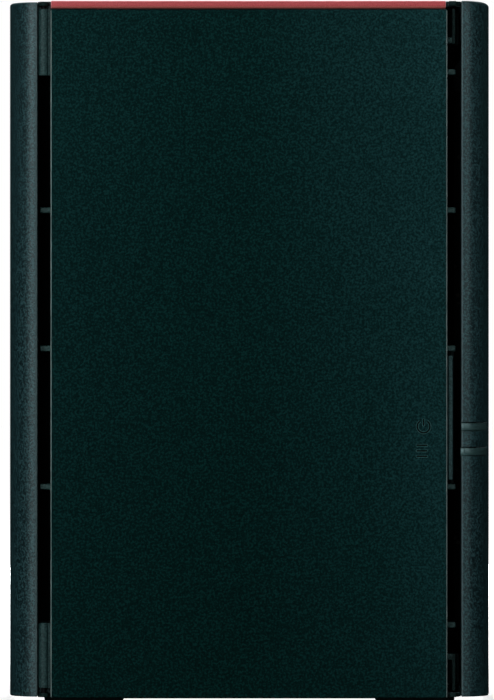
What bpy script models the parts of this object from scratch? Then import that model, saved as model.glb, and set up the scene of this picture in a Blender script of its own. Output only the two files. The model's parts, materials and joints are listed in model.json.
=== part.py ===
# Two-bay desktop network storage enclosure, modelled as it comes apart on a bench.
# Frame: +Z up, front faces -Y, +X to the viewer's right.  Origin: centre of the
# footprint at the level the rubber feet stand on.  Millimetres below, metres in the scene.
import math

import bmesh
import bpy
from mathutils import Matrix, Vector

# ------------------------------------------------------------------ driving dimensions (mm)
WIDTH, DEPTH, HEIGHT = 87.0, 205.0, 127.0
XS = WIDTH / 2                    # outer face of the side covers
YF, YR = -DEPTH / 2, DEPTH / 2    # door front face, rear lips
WALL = 2.0
FOOT_H = 1.0                      # how far the feet stand out below the base
Z_BASE, Z_TOP = FOOT_H, HEIGHT
Z_COVER = 1.1                     # lower edge of the side covers
PLATE = 2.0                       # base and top plate thickness
GAP = 0.3                         # running gap between neighbouring mouldings

PILLAR_X = 38.35                  # inner edge of the rounded front pillars
PILLAR_Y = -101.5                 # front-most line of the pillars
PILLAR_D = 8.0                    # depth over which the pillar rounds back to the side
PILLAR_BACK = -92.0

DOOR_X = 35.9                     # half width of the door panel
DOOR_T = 2.2
DOOR_Z0, DOOR_Z1 = 0.95, 125.45
HINGE_X, HINGE_Y = -37.2, -100.9  # vertical hinge axis in the left-hand gap
KNUCKLE_R, PIN_R = 0.95, 0.5
KNUCKLE_TOP = (113.5, 125.5)
KNUCKLE_BOTTOM = (2.7, 14.4)
LATCH_Z = (40.3, 62.8)

BEZEL_Y = (-96.0, -93.0)
BAY_X, BAY_Z = 31.6, (9.5, 118.5)
COMB_X = 33.0                     # root of the vent comb
RIB_MID, RIB_PITCH, RIB_T = 64.1, 25.04, 1.15
RIB_TIP_Y = (-99.2, -94.4)        # where the ribs reach forward into the gaps beside the door

LENS_Z = ((49.25, 50.6), (44.75, 46.1))
LENS_BACK = -97.0

DRIVE = (26.1, 147.0, 101.6)      # 3.5 inch drive: thickness, length, width
DRIVE_Y0, DRIVE_Z0 = -88.0, 13.1
DRIVE_X = 2.3                     # inner face of each drive from the centre plane
TRAY_X = (0.5, 30.5)

FAN_C, FAN_SIZE, FAN_Y = (-9.3, 75.0), 60.0, (84.0, 99.0)
REAR_Y = (99.7, 101.7)
PCB_X = (38.2, 39.8)

# ------------------------------------------------------------------ scene and materials
for old in list(bpy.data.objects):
    bpy.data.objects.remove(old, do_unlink=True)

PARTS = bpy.data.collections.new("nas_enclosure")
CUTTERS = bpy.data.collections.new("cutters")
bpy.context.scene.collection.children.link(PARTS)
bpy.context.scene.collection.children.link(CUTTERS)


def material(name, rgb, rough, metal=0.0):
    m = bpy.data.materials.new(name)
    m.use_nodes = True
    b = m.node_tree.nodes["Principled BSDF"]
    b.inputs["Base Color"].default_value = (*rgb, 1.0)
    b.inputs["Roughness"].default_value = rough
    b.inputs["Metallic"].default_value = metal
    m.diffuse_color = (*rgb, 1.0)
    return m


M_BODY = material("body_black", (0.010, 0.016, 0.017), 0.55)
M_DOOR = material("door_black", (0.006, 0.013, 0.013), 0.62)
M_INNER = material("inner_black", (0.008, 0.012, 0.012), 0.6)
M_RED = material("accent_red", (0.36, 0.06, 0.065), 0.35)
M_LENS = material("lens_grey", (0.16, 0.22, 0.22), 0.3)
M_RUBBER = material("foot_rubber", (0.012, 0.012, 0.012), 0.9)
M_STEEL = material("zinc_steel", (0.55, 0.56, 0.57), 0.38, 1.0)
M_SCREW = material("screw_black", (0.03, 0.03, 0.03), 0.4, 1.0)
M_PIN = material("pin_steel", (0.6, 0.6, 0.6), 0.25, 1.0)
M_ALLOY = material("drive_alloy", (0.5, 0.51, 0.52), 0.42, 1.0)
M_PCB = material("board_green", (0.01, 0.09, 0.045), 0.45)
M_NICKEL = material("port_nickel", (0.62, 0.62, 0.6), 0.25, 1.0)
M_SOCKET = material("socket_black", (0.012, 0.012, 0.012), 0.45)
M_FAN = material("fan_black", (0.013, 0.014, 0.014), 0.5)
M_BUTTON = material("button_grey", (0.09, 0.1, 0.1), 0.5)
M_SINK = material("sink_alloy", (0.5, 0.5, 0.52), 0.35, 1.0)
M_LEAD = material("lead_black", (0.012, 0.012, 0.012), 0.6)


def mm(*v):
    return tuple(x * 0.001 for x in v)


def keep(obj, mat, cutter=False):
    """Put an object in its collection, as a part or as a hidden cutter."""
    for c in list(obj.users_collection):
        c.objects.unlink(obj)
    if cutter:
        CUTTERS.objects.link(obj)
        obj.hide_render = True
        obj.display_type = "WIRE"
    else:
        PARTS.objects.link(obj)
        obj.data.materials.clear()
        obj.data.materials.append(mat)
    return obj


def box(name, x, y, z, mat=None, cutter=False):
    """A block from its three spans, its origin at its centre."""
    size = mm(x[1] - x[0], y[1] - y[0], z[1] - z[0])
    mid = Vector(mm((x[0] + x[1]) / 2, (y[0] + y[1]) / 2, (z[0] + z[1]) / 2))
    mesh = bpy.data.meshes.new(name)
    bm = bmesh.new()
    bmesh.ops.create_cube(bm, size=1.0)
    bmesh.ops.scale(bm, vec=size, verts=bm.verts)
    bm.to_mesh(mesh)
    bm.free()
    obj = bpy.data.objects.new(name, mesh)
    obj.location = mid
    return keep(obj, mat, cutter)


ALONG = {
    "X": Matrix.Rotation(math.pi / 2, 4, "Y"),
    "Y": Matrix.Rotation(-math.pi / 2, 4, "X"),
    "Z": Matrix.Identity(4),
}


def rod(name, axis, centre, r, span, segs=20, mat=None, cutter=False, r2=None):
    """A cylinder or cone along an axis: centre gives the other two coordinates in X, Y, Z order."""
    length = (span[1] - span[0]) * 0.001
    mesh = bpy.data.meshes.new(name)
    bm = bmesh.new()
    bmesh.ops.create_cone(
        bm, cap_ends=True, segments=segs, radius1=r * 0.001,
        radius2=(r if r2 is None else r2) * 0.001, depth=length,
    )
    bmesh.ops.transform(bm, matrix=ALONG[axis], verts=bm.verts)
    bm.to_mesh(mesh)
    bm.free()
    mesh.shade_smooth()
    mesh.set_sharp_from_angle(angle=math.radians(40))
    obj = bpy.data.objects.new(name, mesh)
    mid = (span[0] + span[1]) / 2
    a, b = centre
    obj.location = mm(*{"X": (mid, a, b), "Y": (a, mid, b), "Z": (a, b, mid)}[axis])
    return keep(obj, mat, cutter)


PLANE = {
    "XY": (0.0, 0.0, 0.0),
    "XZ": (math.pi / 2, 0.0, 0.0),
    "YZ": (math.pi / 2, 0.0, math.pi / 2),
}


def plate(name, plane, loops, span, mat=None, cutter=False):
    """A flat outline with holes, as a filled 2D curve given its thickness along the third axis."""
    data = bpy.data.curves.new(name, "CURVE")
    data.dimensions = "2D"
    data.fill_mode = "BOTH"
    data.extrude = (span[1] - span[0]) * 0.0005
    for loop in loops:
        s = data.splines.new("POLY")
        s.points.add(len(loop) - 1)
        for p, (u, v) in zip(s.points, loop):
            p.co = (u * 0.001, v * 0.001, 0.0, 1.0)
        s.use_cyclic_u = True
    curve = bpy.data.objects.new(name + "_outline", data)
    CUTTERS.objects.link(curve)
    mid = (span[0] + span[1]) * 0.0005
    curve.rotation_euler = PLANE[plane]
    curve.location = {"XY": (0, 0, mid), "XZ": (0, mid, 0), "YZ": (mid, 0, 0)}[plane]
    return meshed(curve, name, mat, cutter)


def meshed(curve, name, mat=None, cutter=False):
    """The curve's evaluated solid as a welded mesh object in the curve's place."""
    bpy.context.view_layer.update()
    graph = bpy.context.evaluated_depsgraph_get()
    mesh = bpy.data.meshes.new_from_object(curve.evaluated_get(graph))
    bm = bmesh.new()
    bm.from_mesh(mesh)
    bmesh.ops.remove_doubles(bm, verts=bm.verts, dist=2e-6)
    bmesh.ops.recalc_face_normals(bm, faces=bm.faces)
    bm.to_mesh(mesh)
    bm.free()
    mesh.shade_smooth()
    mesh.set_sharp_from_angle(angle=math.radians(32))
    obj = bpy.data.objects.new(name, mesh)
    obj.matrix_world = curve.matrix_world.copy()
    bpy.data.objects.remove(curve, do_unlink=True)
    mesh.name = name
    return keep(obj, mat, cutter)


def combine(obj, others, operation):
    """Boolean modifiers on obj for a list of hidden helper objects."""
    for other in others:
        m = obj.modifiers.new(operation.lower() + "_" + other.name, "BOOLEAN")
        m.operation = operation
        m.object = other
        m.solver = "EXACT"
    return obj


def cut(obj, *others):
    return combine(obj, others, "DIFFERENCE")


def join(obj, *others):
    return combine(obj, others, "UNION")


def rect(x, y):
    return [(x[0], y[0]), (x[1], y[0]), (x[1], y[1]), (x[0], y[1])]


def round_rect(x, y, r, n=3):
    pts = []
    for cx, cy, a0 in ((x[1] - r, y[0] + r, -90), (x[1] - r, y[1] - r, 0),
                       (x[0] + r, y[1] - r, 90), (x[0] + r, y[0] + r, 180)):
        for i in range(n + 1):
            a = math.radians(a0 + 90 * i / n)
            pts.append((cx + r * math.cos(a), cy + r * math.sin(a)))
    return pts


def circle(c, r, n=24, a0=0.0):
    return [(c[0] + r * math.cos(a0 + 2 * math.pi * i / n),
             c[1] + r * math.sin(a0 + 2 * math.pi * i / n)) for i in range(n)]


def sector(c, r0, r1, a0, a1, n):
    """A ring-shaped slot between two radii and two angles."""
    out = [(c[0] + r1 * math.cos(a0 + (a1 - a0) * i / n), c[1] + r1 * math.sin(a0 + (a1 - a0) * i / n)) for i in range(n + 1)]
    inn = [(c[0] + r0 * math.cos(a1 + (a0 - a1) * i / n), c[1] + r0 * math.sin(a1 + (a0 - a1) * i / n)) for i in range(n + 1)]
    return out + inn


def mirrored(loop):
    return [(-u, v) for u, v in reversed(loop)]


# ------------------------------------------------------------------ side covers
def pillar_curve(t0=4.0, t1=90.0, n=9):
    """Quarter ellipse of the right-hand pillar, from its inner edge round to the side."""
    a, b = XS - PILLAR_X, PILLAR_D
    pts = []
    for i in range(n + 1):
        t = math.radians(t0 + (t1 - t0) * i / n)
        pts.append((PILLAR_X + a * math.sin(t), PILLAR_Y + b - b * math.cos(t)))
    return pts


def side_profile():
    """Right-hand cover in plan: solid rounded pillar, thin side wall, rear lip."""
    rr = 3.5
    pts = [(PILLAR_X, PILLAR_Y + 0.32)] + pillar_curve()
    for i in range(6):
        a = math.radians(90 * i / 5)
        pts.append((XS - rr + rr * math.cos(a), YR - rr + rr * math.sin(a)))
    inner = XS - WALL
    pts += [(XS - rr, YR - WALL), (inner, YR - WALL), (inner, PILLAR_BACK), (PILLAR_X, PILLAR_BACK)]
    return pts


plate("left_side_cover", "XY", [mirrored(side_profile())], (Z_COVER, Z_TOP), M_BODY)
right_cover = plate("right_side_cover", "XY", [side_profile()], (Z_COVER, Z_TOP), M_BODY)
for i, (z0, z1) in enumerate(LENS_Z):
    label = ("upper", "lower")[i]
    cut(right_cover,
        box(f"lens_slot_{label}", (37.5, 44.5), (-104.0, LENS_BACK + 0.1), (z0 - 0.1, z1 + 0.1), cutter=True),
        box(f"pipe_slot_{label}", (39.3, 41.1), (-98.0, -91.0), (z0 - 0.1, z1 + 0.1), cutter=True))
    # the lens follows the pillar's curve and runs back as a light pipe
    back_t = math.degrees(math.acos((PILLAR_Y + PILLAR_D - LENS_BACK) / PILLAR_D))
    face = pillar_curve(4.0, back_t, 8)
    tail = [(40.9, LENS_BACK), (40.9, -91.4), (39.5, -91.4), (39.5, LENS_BACK)]
    plate(f"status_lens_{label}", "XY",
          [[(PILLAR_X, PILLAR_Y + 0.32)] + face + tail + [(PILLAR_X, LENS_BACK)]], (z0, z1), M_LENS)


# ------------------------------------------------------------------ top cover, base and feet
def cover_outline(tongue_x):
    """Plan of the plates that close the top and the bottom between the side covers."""
    w, wf, wr = XS - WALL - GAP, PILLAR_X - GAP, XS - 3.5 - GAP
    front, back = -98.0, YR - 0.3
    # the left tongue ends in a half circle round the hinge axis
    tip = [(HINGE_X + KNUCKLE_R * math.cos(a), HINGE_Y + KNUCKLE_R * math.sin(a))
           for a in (math.radians(180 + 180 * i / 8) for i in range(9))]
    shoulder, heel = PILLAR_BACK + 0.4, YR - WALL - 0.4
    # the shoulders are drafted a little, so plates slide in past the pillars
    # beside the hinge the front edge stays back, so the knuckles can turn
    plan = [(-wf, shoulder), (-wf, front), (-35.2, front + 0.05), (-35.0, front - 1.2), (wf, front - 1.25),
            (wf, shoulder), (w, shoulder + 0.8),
            (w, heel - 0.5), (wr, heel), (wr, back), (-wr, back),
            (-wr, heel), (-w, heel - 0.5), (-w, shoulder + 0.8)]
    left = tip + [(HINGE_X + KNUCKLE_R, front + 1.5), (HINGE_X - KNUCKLE_R, front + 1.5)]
    right = rect(tongue_x, (-101.6, front + 1.5))
    return plan, left, right


TONGUE_X = (36.25, 37.75)
PLAN, TONGUE_L, TONGUE_R = cover_outline(TONGUE_X)
LIP_X, LIP_Y = (39.4, 40.9), (-91.0, 97.0)
BOSS_X, BOSS_Y = (32.0, 38.9), (92.0, 99.4)
REAR_SCREWS = [(-35.5, 8.0), (35.5, 8.0), (-35.5, 120.0), (35.5, 120.0)]
FEET = [("front_left", -30.1, -90.0), ("front_right", 30.1, -90.0),
        ("rear_left", -30.1, 88.0), ("rear_right", 30.1, 88.0)]


def end_plate(name, z, tongue_z, lip_z, boss_z, notch_z, holes=()):
    plate_obj = plate(name, "XY", [PLAN, *holes], z, M_BODY)
    # behind the right-hand tongue the plate is thinned, which leaves the corner of the gap open and dark
    cut(plate_obj, box(name + "_corner_notch", (35.55, 38.4), (-100.5, -92.9), notch_z, cutter=True))
    bits = [plate(name + "_hinge_tongue", "XY", [TONGUE_L, circle((HINGE_X, HINGE_Y), 0.6, 12)], tongue_z, cutter=True),
            plate(name + "_right_tongue", "XY", [TONGUE_R], tongue_z, cutter=True)]
    for side in (-1, 1):
        tag = "left" if side < 0 else "right"
        bits.append(box(f"{name}_lip_{tag}", sorted((side * LIP_X[0], side * LIP_X[1])), LIP_Y, lip_z, cutter=True))
        bits.append(box(f"{name}_boss_{tag}", sorted((side * BOSS_X[0], side * BOSS_X[1])), BOSS_Y, boss_z, cutter=True))
    join(plate_obj, *bits)
    drills = [rod(f"{name}_drill_{i}", "Y", c, 1.65, (93.0, 105.0), 12, cutter=True)
              for i, c in enumerate(REAR_SCREWS) if boss_z[0] < c[1] < boss_z[1]]
    return cut(plate_obj, *drills)


end_plate("top_cover", (Z_TOP - PLATE, Z_TOP), (Z_TOP - 0.9, Z_TOP - 0.02), (120.0, Z_TOP - 1.0), (115.5, Z_TOP - 1.0), (124.5, Z_TOP - 0.95))

vents = []
for row_y in (-38.0, 12.0):
    for k in range(7):
        # slightly shorter slots towards one side, each with pointed ends
        x, half = -24.0 + 8.0 * k, 17.0 - 0.11 * k
        vents.append([(x - 1.5, row_y - half), (x, row_y - half - 1.5), (x + 1.5, row_y - half - 0.04),
                      (x + 1.5, row_y + half), (x, row_y + half + 1.5), (x - 1.5, row_y + half - 0.04)])
base = end_plate("base_tray", (Z_BASE, Z_BASE + PLATE), (Z_BASE + 0.02, Z_BASE + 0.75),
                 (Z_BASE + 1.0, 8.0), (Z_BASE + 1.0, 11.5), (Z_BASE + 0.8, 3.5), vents)
# four posts carry the drive cage
join(base, *[box(f"cage_post_{i}", (x - 4.0, x + 4.0), (y - 5.0, y + 5.0), (Z_BASE + 1.0, 8.9), cutter=True)
             for i, (x, y) in enumerate([(-27.0, -78.0), (27.0, -78.0), (-27.0, 48.0), (27.0, 48.0)])])
for tag, x, y in FEET:
    cut(base, plate(f"foot_pocket_{tag}", "XY",
                    [round_rect((x - 7.5, x + 7.5), (y - 4.8, y + 4.8), 2.8)], (0.0, Z_BASE + 0.8), cutter=True))
    foot = plate(f"foot_{tag}", "XY", [round_rect((x - 7.2, x + 7.2), (y - 4.5, y + 4.5), 2.5)],
                 (0.0, Z_BASE + 0.5), M_RUBBER)

# ------------------------------------------------------------------ front bezel with its vent comb
ribs = [RIB_MID + RIB_PITCH * k for k in (-2, -1, 0, 1, 2)]


def comb_side(reach, z_lo, z_hi):
    """One side of the bezel, bottom to top: solid ends, then teeth between open slots."""
    d = 0.06  # moulding draft on the teeth
    pts = [(PILLAR_X - 0.35, z_lo), (PILLAR_X - 0.35, 8.8), (COMB_X, 9.2)]
    for r in ribs:
        pts += [(COMB_X, r - RIB_T / 2 - d), (reach, r - RIB_T / 2), (reach, r + RIB_T / 2), (COMB_X, r + RIB_T / 2 + d)]
    pts += [(COMB_X, 118.8), (PILLAR_X - 0.35, 119.2), (PILLAR_X - 0.35, z_hi)]
    return pts


BZ = (Z_BASE + PLATE + GAP, Z_TOP - PLATE - GAP)
outline = comb_side(37.2, *BZ) + [(-u, v) for u, v in reversed(comb_side(38.0, *BZ))]
bezel = plate("front_bezel", "XZ", [outline, rect((-BAY_X, BAY_X), BAY_Z)], BEZEL_Y, M_INNER)
rims = [
    # L-shaped rims in the right-hand corners of the gap
    box("rim_top_post", (36.75, 37.35), (-98.4, -94.5), (119.3, 125.7), cutter=True),
    box("rim_top_hook", (35.2, 37.05), (-98.2, -94.6), (119.4, 120.45), cutter=True),
    box("rim_bottom_post", (36.75, 37.35), (-98.4, -94.5), (2.15, 8.7), cutter=True),
    box("rim_bottom_hook", (35.2, 37.05), (-98.2, -94.6), (7.65, 8.75), cutter=True),
    # the ribs reach forward into the gaps; beside the hinge only the middle three have room to
    *[box(f"rib_tip_right_{i}", (35.6, 37.35), RIB_TIP_Y, (r - 0.52, r + 0.52), cutter=True) for i, r in enumerate(ribs)],
    *[box(f"rib_tip_left_{i}", (-37.93, -35.4), RIB_TIP_Y, (r - 0.52, r + 0.52), cutter=True) for i, r in enumerate(ribs[1:4])],
    # keeper bar that the door latch's nose sits behind
    box("latch_keeper", (36.35, 37.1), (-95.6, -94.2), (RIB_MID - RIB_PITCH, RIB_MID), cutter=True),
]
join(bezel, *rims)

# ------------------------------------------------------------------ door
door = box("front_door", (-DOOR_X, DOOR_X), (YF, YF + DOOR_T), (DOOR_Z0, DOOR_Z1), M_DOOR)
edge = door.modifiers.new("edge", "BEVEL")
edge.width, edge.segments, edge.limit_method = 0.00035, 2, "ANGLE"

strip = plate("accent_strip", "YZ",
              [[(-102.25, 125.75), (-102.25, 126.45), (-101.95, 126.9), (-101.4, Z_TOP), (-99.6, Z_TOP), (-99.6, 125.75)]],
              (-DOOR_X, DOOR_X), M_RED)
join(strip, box("strip_tab", (-28.0, 28.0), (-100.0, -99.65), (122.0, 126.2), cutter=True))

liner = box("door_liner", (-33.0, 31.8), (-100.05, -98.2), (4.0, 121.5), M_INNER)
# each knuckle is round about the hinge axis, with an arm that reaches in behind the panel
arc0, arc1 = math.radians(-12), math.atan2(0.3, -0.9) - 2 * math.pi
arm = [(-0.9, 1.7), (5.7, 1.7), (5.7, 0.92), (1.0, 0.92)]
arm += [(KNUCKLE_R * math.cos(arc0 + (arc1 - arc0) * i / 14), KNUCKLE_R * math.sin(arc0 + (arc1 - arc0) * i / 14)) for i in range(15)]
arm = [(HINGE_X + u, HINGE_Y + v) for u, v in arm]
for tag, span in (("top", KNUCKLE_TOP), ("bottom", KNUCKLE_BOTTOM)):
    join(liner, plate(f"knuckle_{tag}", "XY", [arm, circle((HINGE_X, HINGE_Y), 0.6, 12)], span, cutter=True))
rod("hinge_pin_top", "Z", (HINGE_X, HINGE_Y), PIN_R, (117.0, Z_TOP - 0.15), 12, M_PIN)
rod("hinge_pin_bottom", "Z", (HINGE_X, HINGE_Y), PIN_R, (Z_BASE + 0.15, 11.0), 12, M_PIN)

# the door's pieces hang on one empty that sits on the hinge axis
axis = bpy.data.objects.new("door_axis", None)
axis.location = mm(HINGE_X, HINGE_Y, (DOOR_Z0 + DOOR_Z1) / 2)
PARTS.objects.link(axis)

latch = box("door_latch", (33.3, 36.75), (-99.95, -99.0), LATCH_Z, M_INNER)
hook = [(34.5, -99.4), (35.4, -99.4), (35.4, -93.9), (35.9, -93.6), (35.9, -93.1), (34.5, -93.1)]
join(latch, plate("latch_hook", "XY", [hook], (49.0, 54.0), cutter=True))
bpy.context.view_layer.update()
for piece in (door, strip, liner, latch):
    piece.parent = axis
    piece.matrix_parent_inverse = axis.matrix_world.inverted()

# ------------------------------------------------------------------ drive cage, trays, drives
cage = plate("drive_cage", "XZ",
             [rect((-32.2, 32.2), (9.2, 118.8)), rect((-31.2, 31.2), (10.2, 117.8))], (-92.4, 62.0), M_STEEL)
cut(cage,
    box("cage_side_window_a", (-40, 40), (-70.0, -20.0), (30.0, 98.0), cutter=True),
    box("cage_side_window_b", (-40, 40), (-8.0, 42.0), (30.0, 98.0), cutter=True),
    box("cage_end_window_a", (-22, 22), (-70.0, -20.0), (0.0, 130.0), cutter=True),
    box("cage_end_window_b", (-22, 22), (-8.0, 42.0), (0.0, 130.0), cutter=True))
plate("bay_divider", "YZ", [rect((-89.5, 60.0), (10.6, 117.4)), rect((-70.0, -20.0), (30.0, 98.0)), rect((-8.0, 42.0), (30.0, 98.0))],
      (-0.5, 0.5), M_STEEL)

for tag, s in (("left", -1), ("right", 1)):
    def X(a, b, s=s):
        return tuple(sorted((s * a, s * b)))
    front_holes = [rect(X(10.5, 20.5), (88.0, 105.7))]
    for k in range(8):
        z = 20.0 + 8.0 * k
        front_holes.append(round_rect(X(4.5, 26.5), (z, z + 3.2), 1.5, 2))
    tray = plate(f"drive_tray_{tag}", "XZ", [rect(X(*TRAY_X), (10.5, 117.5)), *front_holes], (-93.5, -90.5), M_INNER)
    join(tray,
         plate(f"tray_side_{tag}", "YZ", [rect((-91.5, 50.0), (11.2, 116.6)), rect((-72.0, -22.0), (30.0, 98.0)), rect((-8.0, 42.0), (30.0, 98.0))],
               X(29.0, 30.45), cutter=True),
         box(f"tray_floor_{tag}", X(2.0, 29.6), (-91.4, 49.9), (11.25, 12.75), cutter=True),
         box(f"tray_roof_{tag}", X(2.0, 29.6), (-91.4, 49.9), (115.05, 116.55), cutter=True))
    box(f"tray_latch_{tag}", X(10.8, 20.2), (-95.6, -91.0), (88.3, 102.3), M_BUTTON)
    drive = box(f"hard_drive_{tag}", X(DRIVE_X, DRIVE_X + DRIVE[0]), (DRIVE_Y0, DRIVE_Y0 + DRIVE[1]),
                (DRIVE_Z0, DRIVE_Z0 + DRIVE[2]), M_ALLOY)
    e = drive.modifiers.new("edge", "BEVEL")
    e.width, e.segments, e.limit_method = 0.0009, 1, "ANGLE"
    cx = -12.5 if s < 0 else 18.2
    box(f"sata_connector_{tag}", (cx, cx + 7.0), (59.4, 62.5), (20.0, 62.0), M_SOCKET)
plate("sata_backplane", "XZ", [rect((-31.0, 31.0), (12.0, 116.0)), rect((-26.0, 26.0), (70.0, 108.0))], (62.8, 64.4), M_PCB)

# ------------------------------------------------------------------ rear panel, grille, fan
IO = {
    "lan": rect((24.3, 38.15), (63.7, 80.3)),
    "usb": rect((30.6, 38.15), (43.7, 58.8)),
    "dc": rect((26.6, 38.15), (23.7, 33.3)),
    "slider": rect((33.6, 36.4), (86.6, 95.4)),
    "button": circle((35.0, 106.0), 2.6, 18),
    "lock": round_rect((-3.6, 3.6), (18.0, 21.2), 1.0, 2),
}
fan_holes = [(FAN_C[0] + dx, FAN_C[1] + dz) for dx in (-25.0, 25.0) for dz in (-25.0, 25.0)]
panel_loops = [rect((-XS + 3.5 + GAP, XS - 3.5 - GAP), BZ), circle(FAN_C, 29.6, 40), *IO.values()]
panel_loops += [circle(c, 1.75, 12) for c in REAR_SCREWS] + [circle(c, 2.1, 12) for c in fan_holes]
plate("rear_panel", "XZ", panel_loops, REAR_Y, M_BODY)

grille = [circle(FAN_C, 29.2, 40)]
for r0, r1, n in ((7.4, 11.6, 4), (13.0, 17.0, 4), (18.4, 22.4, 5), (23.8, 27.4, 6)):
    for k in range(6):
        half = math.pi / 6 - 1.0 / ((r0 + r1) / 2)
        mid = math.pi / 6 + k * math.pi / 3
        grille.append(sector(FAN_C, r0, r1, mid - half, mid + half, n))
plate("fan_grille", "XZ", grille, (REAR_Y[0] + 0.2, REAR_Y[1] - 0.1), M_BODY)

fx, fz = FAN_C
h = FAN_SIZE / 2
frame_loops = [round_rect((fx - h, fx + h), (fz - h, fz + h), 3.0), circle(FAN_C, 28.6, 40)]
frame_loops += [circle(c, 2.1, 10) for c in fan_holes]
fan = plate("fan_frame", "XZ", frame_loops, FAN_Y, M_FAN)
strut = [rod("fan_motor_plate", "Y", FAN_C, 12.0, (96.6, 98.7), 24, cutter=True)]
for k in range(3):
    a = math.radians(30 + 120 * k)
    arm_box = box(f"fan_strut_{k}", (-1.4, 1.4), (96.7, 98.6), (9.0, 30.0), cutter=True)
    # swing the strut about the fan's axis
    arm_box.matrix_world = Matrix.Translation(mm(fx, 97.65, fz)) @ Matrix.Rotation(a, 4, "Y") @ Matrix.Translation(mm(0, 0, 19.5))
    strut.append(arm_box)
join(fan, *strut)

rotor = rod("fan_rotor", "Y", FAN_C, 12.5, (85.2, 96.2), 28, M_FAN)
blades = []
for k in range(7):
    b = box(f"fan_blade_{k}", (-8.2, 8.2), (-0.7, 0.7), (11.0, 26.9), cutter=True)
    b.matrix_world = (Matrix.Translation(mm(fx, 90.7, fz)) @ Matrix.Rotation(2 * math.pi * k / 7, 4, "Y")
                      @ Matrix.Translation(mm(0, 0, 18.95)) @ Matrix.Rotation(math.radians(32), 4, "Z"))
    blades.append(b)
join(rotor, *blades)

# ------------------------------------------------------------------ main board and what it carries
STANDOFFS = [(-38.0, 20.0), (-38.0, 104.0), (56.0, 104.0)]
plate("main_board", "YZ", [rect((-45.0, 98.6), (12.0, 112.0))] + [circle(c, 1.6, 12) for c in STANDOFFS], PCB_X, M_PCB)
for i, c in enumerate(STANDOFFS):
    post = rod(f"board_standoff_{i + 1}", "X", c, 2.6, (32.5, 37.9), 6, M_PIN)
    cut(post, rod(f"standoff_drill_{i + 1}", "X", c, 1.55, (33.5, 39.0), 12, cutter=True))
    screw = rod(f"board_screw_{i + 1}", "X", c, 2.7, (40.1, 41.2), 12, M_SCREW)
    join(screw, rod(f"board_screw_shank_{i + 1}", "X", c, 1.25, (35.0, 40.6), 12, cutter=True))

fins = [(2.0, 37.9), (32.0, 37.9)]
for k in range(8):
    y1 = 32.0 - k * 4.0
    fins += [(y1, 32.9), (y1 - 1.2, 32.9), (y1 - 1.2, 36.4), (y1 - 4.0, 36.4)] if k < 7 else [(y1, 32.9), (2.0, 32.9)]
plate("cpu_heatsink", "XY", [[(v, u) for u, v in fins]], (58.0, 88.0), M_SINK)

lan = box("lan_jack", (24.6, 37.9), (79.8, 101.4), (64.0, 80.0), M_NICKEL)
cut(lan, box("lan_cavity", (27.4, 34.8), (87.0, 103.0), (66.0, 78.0), cutter=True),
    box("lan_latch_notch", (26.0, 28.0), (90.0, 103.0), (69.0, 75.0), cutter=True))
usb = box("usb_port", (30.9, 37.9), (86.0, 101.4), (44.0, 58.5), M_NICKEL)
cut(usb, box("usb_cavity", (31.8, 37.0), (89.0, 103.0), (44.9, 57.6), cutter=True))
join(usb, box("usb_tongue", (34.6, 36.2), (88.0, 100.4), (45.9, 56.6), cutter=True))
dc = box("dc_jack", (26.9, 37.9), (87.0, 101.4), (24.0, 33.0), M_SOCKET)
cut(dc, rod("dc_cavity", "Y", (31.4, 28.5), 3.1, (90.0, 103.0), 20, cutter=True))
join(dc, rod("dc_pin", "Y", (31.4, 28.5), 1.0, (88.0, 100.4), 12, cutter=True))

box("power_switch", (32.6, 37.9), (93.4, 98.4), (85.0, 97.0), M_SOCKET)
slider = box("power_slider", (33.9, 36.1), (98.8, 102.2), (86.9, 91.1), M_BUTTON)
box("function_switch", (32.0, 37.9), (92.2, 96.6), (103.0, 109.0), M_SOCKET)
button = rod("function_button", "Y", (35.0, 106.0), 2.25, (98.0, 102.2), 18, M_BUTTON)
join(button, rod("button_flange", "Y", (35.0, 106.0), 2.9, (97.9, 98.9), 18, cutter=True))

box("led_board", (38.9, 40.5), (-91.0, -72.0), (38.0, 57.0), M_PCB)
box("fan_header", (33.6, 37.9), (74.0, 80.0), (34.0, 40.0), M_SOCKET)

# fan lead: a smooth tube from the fan's corner to its header
route = [Vector((21.05, 92.0, 50.0)), Vector((23.6, 92.0, 49.8)), Vector((25.6, 90.0, 47.0)), Vector((26.8, 86.0, 42.0)),
         Vector((28.8, 80.0, 38.2)), Vector((31.0, 77.3, 37.0)), Vector((33.25, 77.0, 37.0))]


def spline(points, steps):
    """Catmull-Rom points through a short route."""
    p = [2 * points[0] - points[1], *points, 2 * points[-1] - points[-2]]
    out = []
    for i in range(1, len(p) - 2):
        for k in range(steps):
            t = k / steps
            out.append(0.5 * (2 * p[i] + (p[i + 1] - p[i - 1]) * t
                              + (2 * p[i - 1] - 5 * p[i] + 4 * p[i + 1] - p[i + 2]) * t * t
                              + (3 * p[i] - p[i - 1] - 3 * p[i + 1] + p[i + 2]) * t ** 3))
    return out + [points[-1]]


lead = bpy.data.curves.new("fan_lead", "CURVE")
lead.dimensions = "3D"
lead.bevel_depth, lead.bevel_resolution, lead.use_fill_caps = 0.0011, 2, True
pts = spline(route, 3)
s = lead.splines.new("POLY")
s.points.add(len(pts) - 1)
for p, q in zip(s.points, pts):
    p.co = (*mm(*q), 1.0)
lead_curve = bpy.data.objects.new("fan_lead_curve", lead)
CUTTERS.objects.link(lead_curve)
meshed(lead_curve, "fan_lead", M_LEAD)

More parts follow.
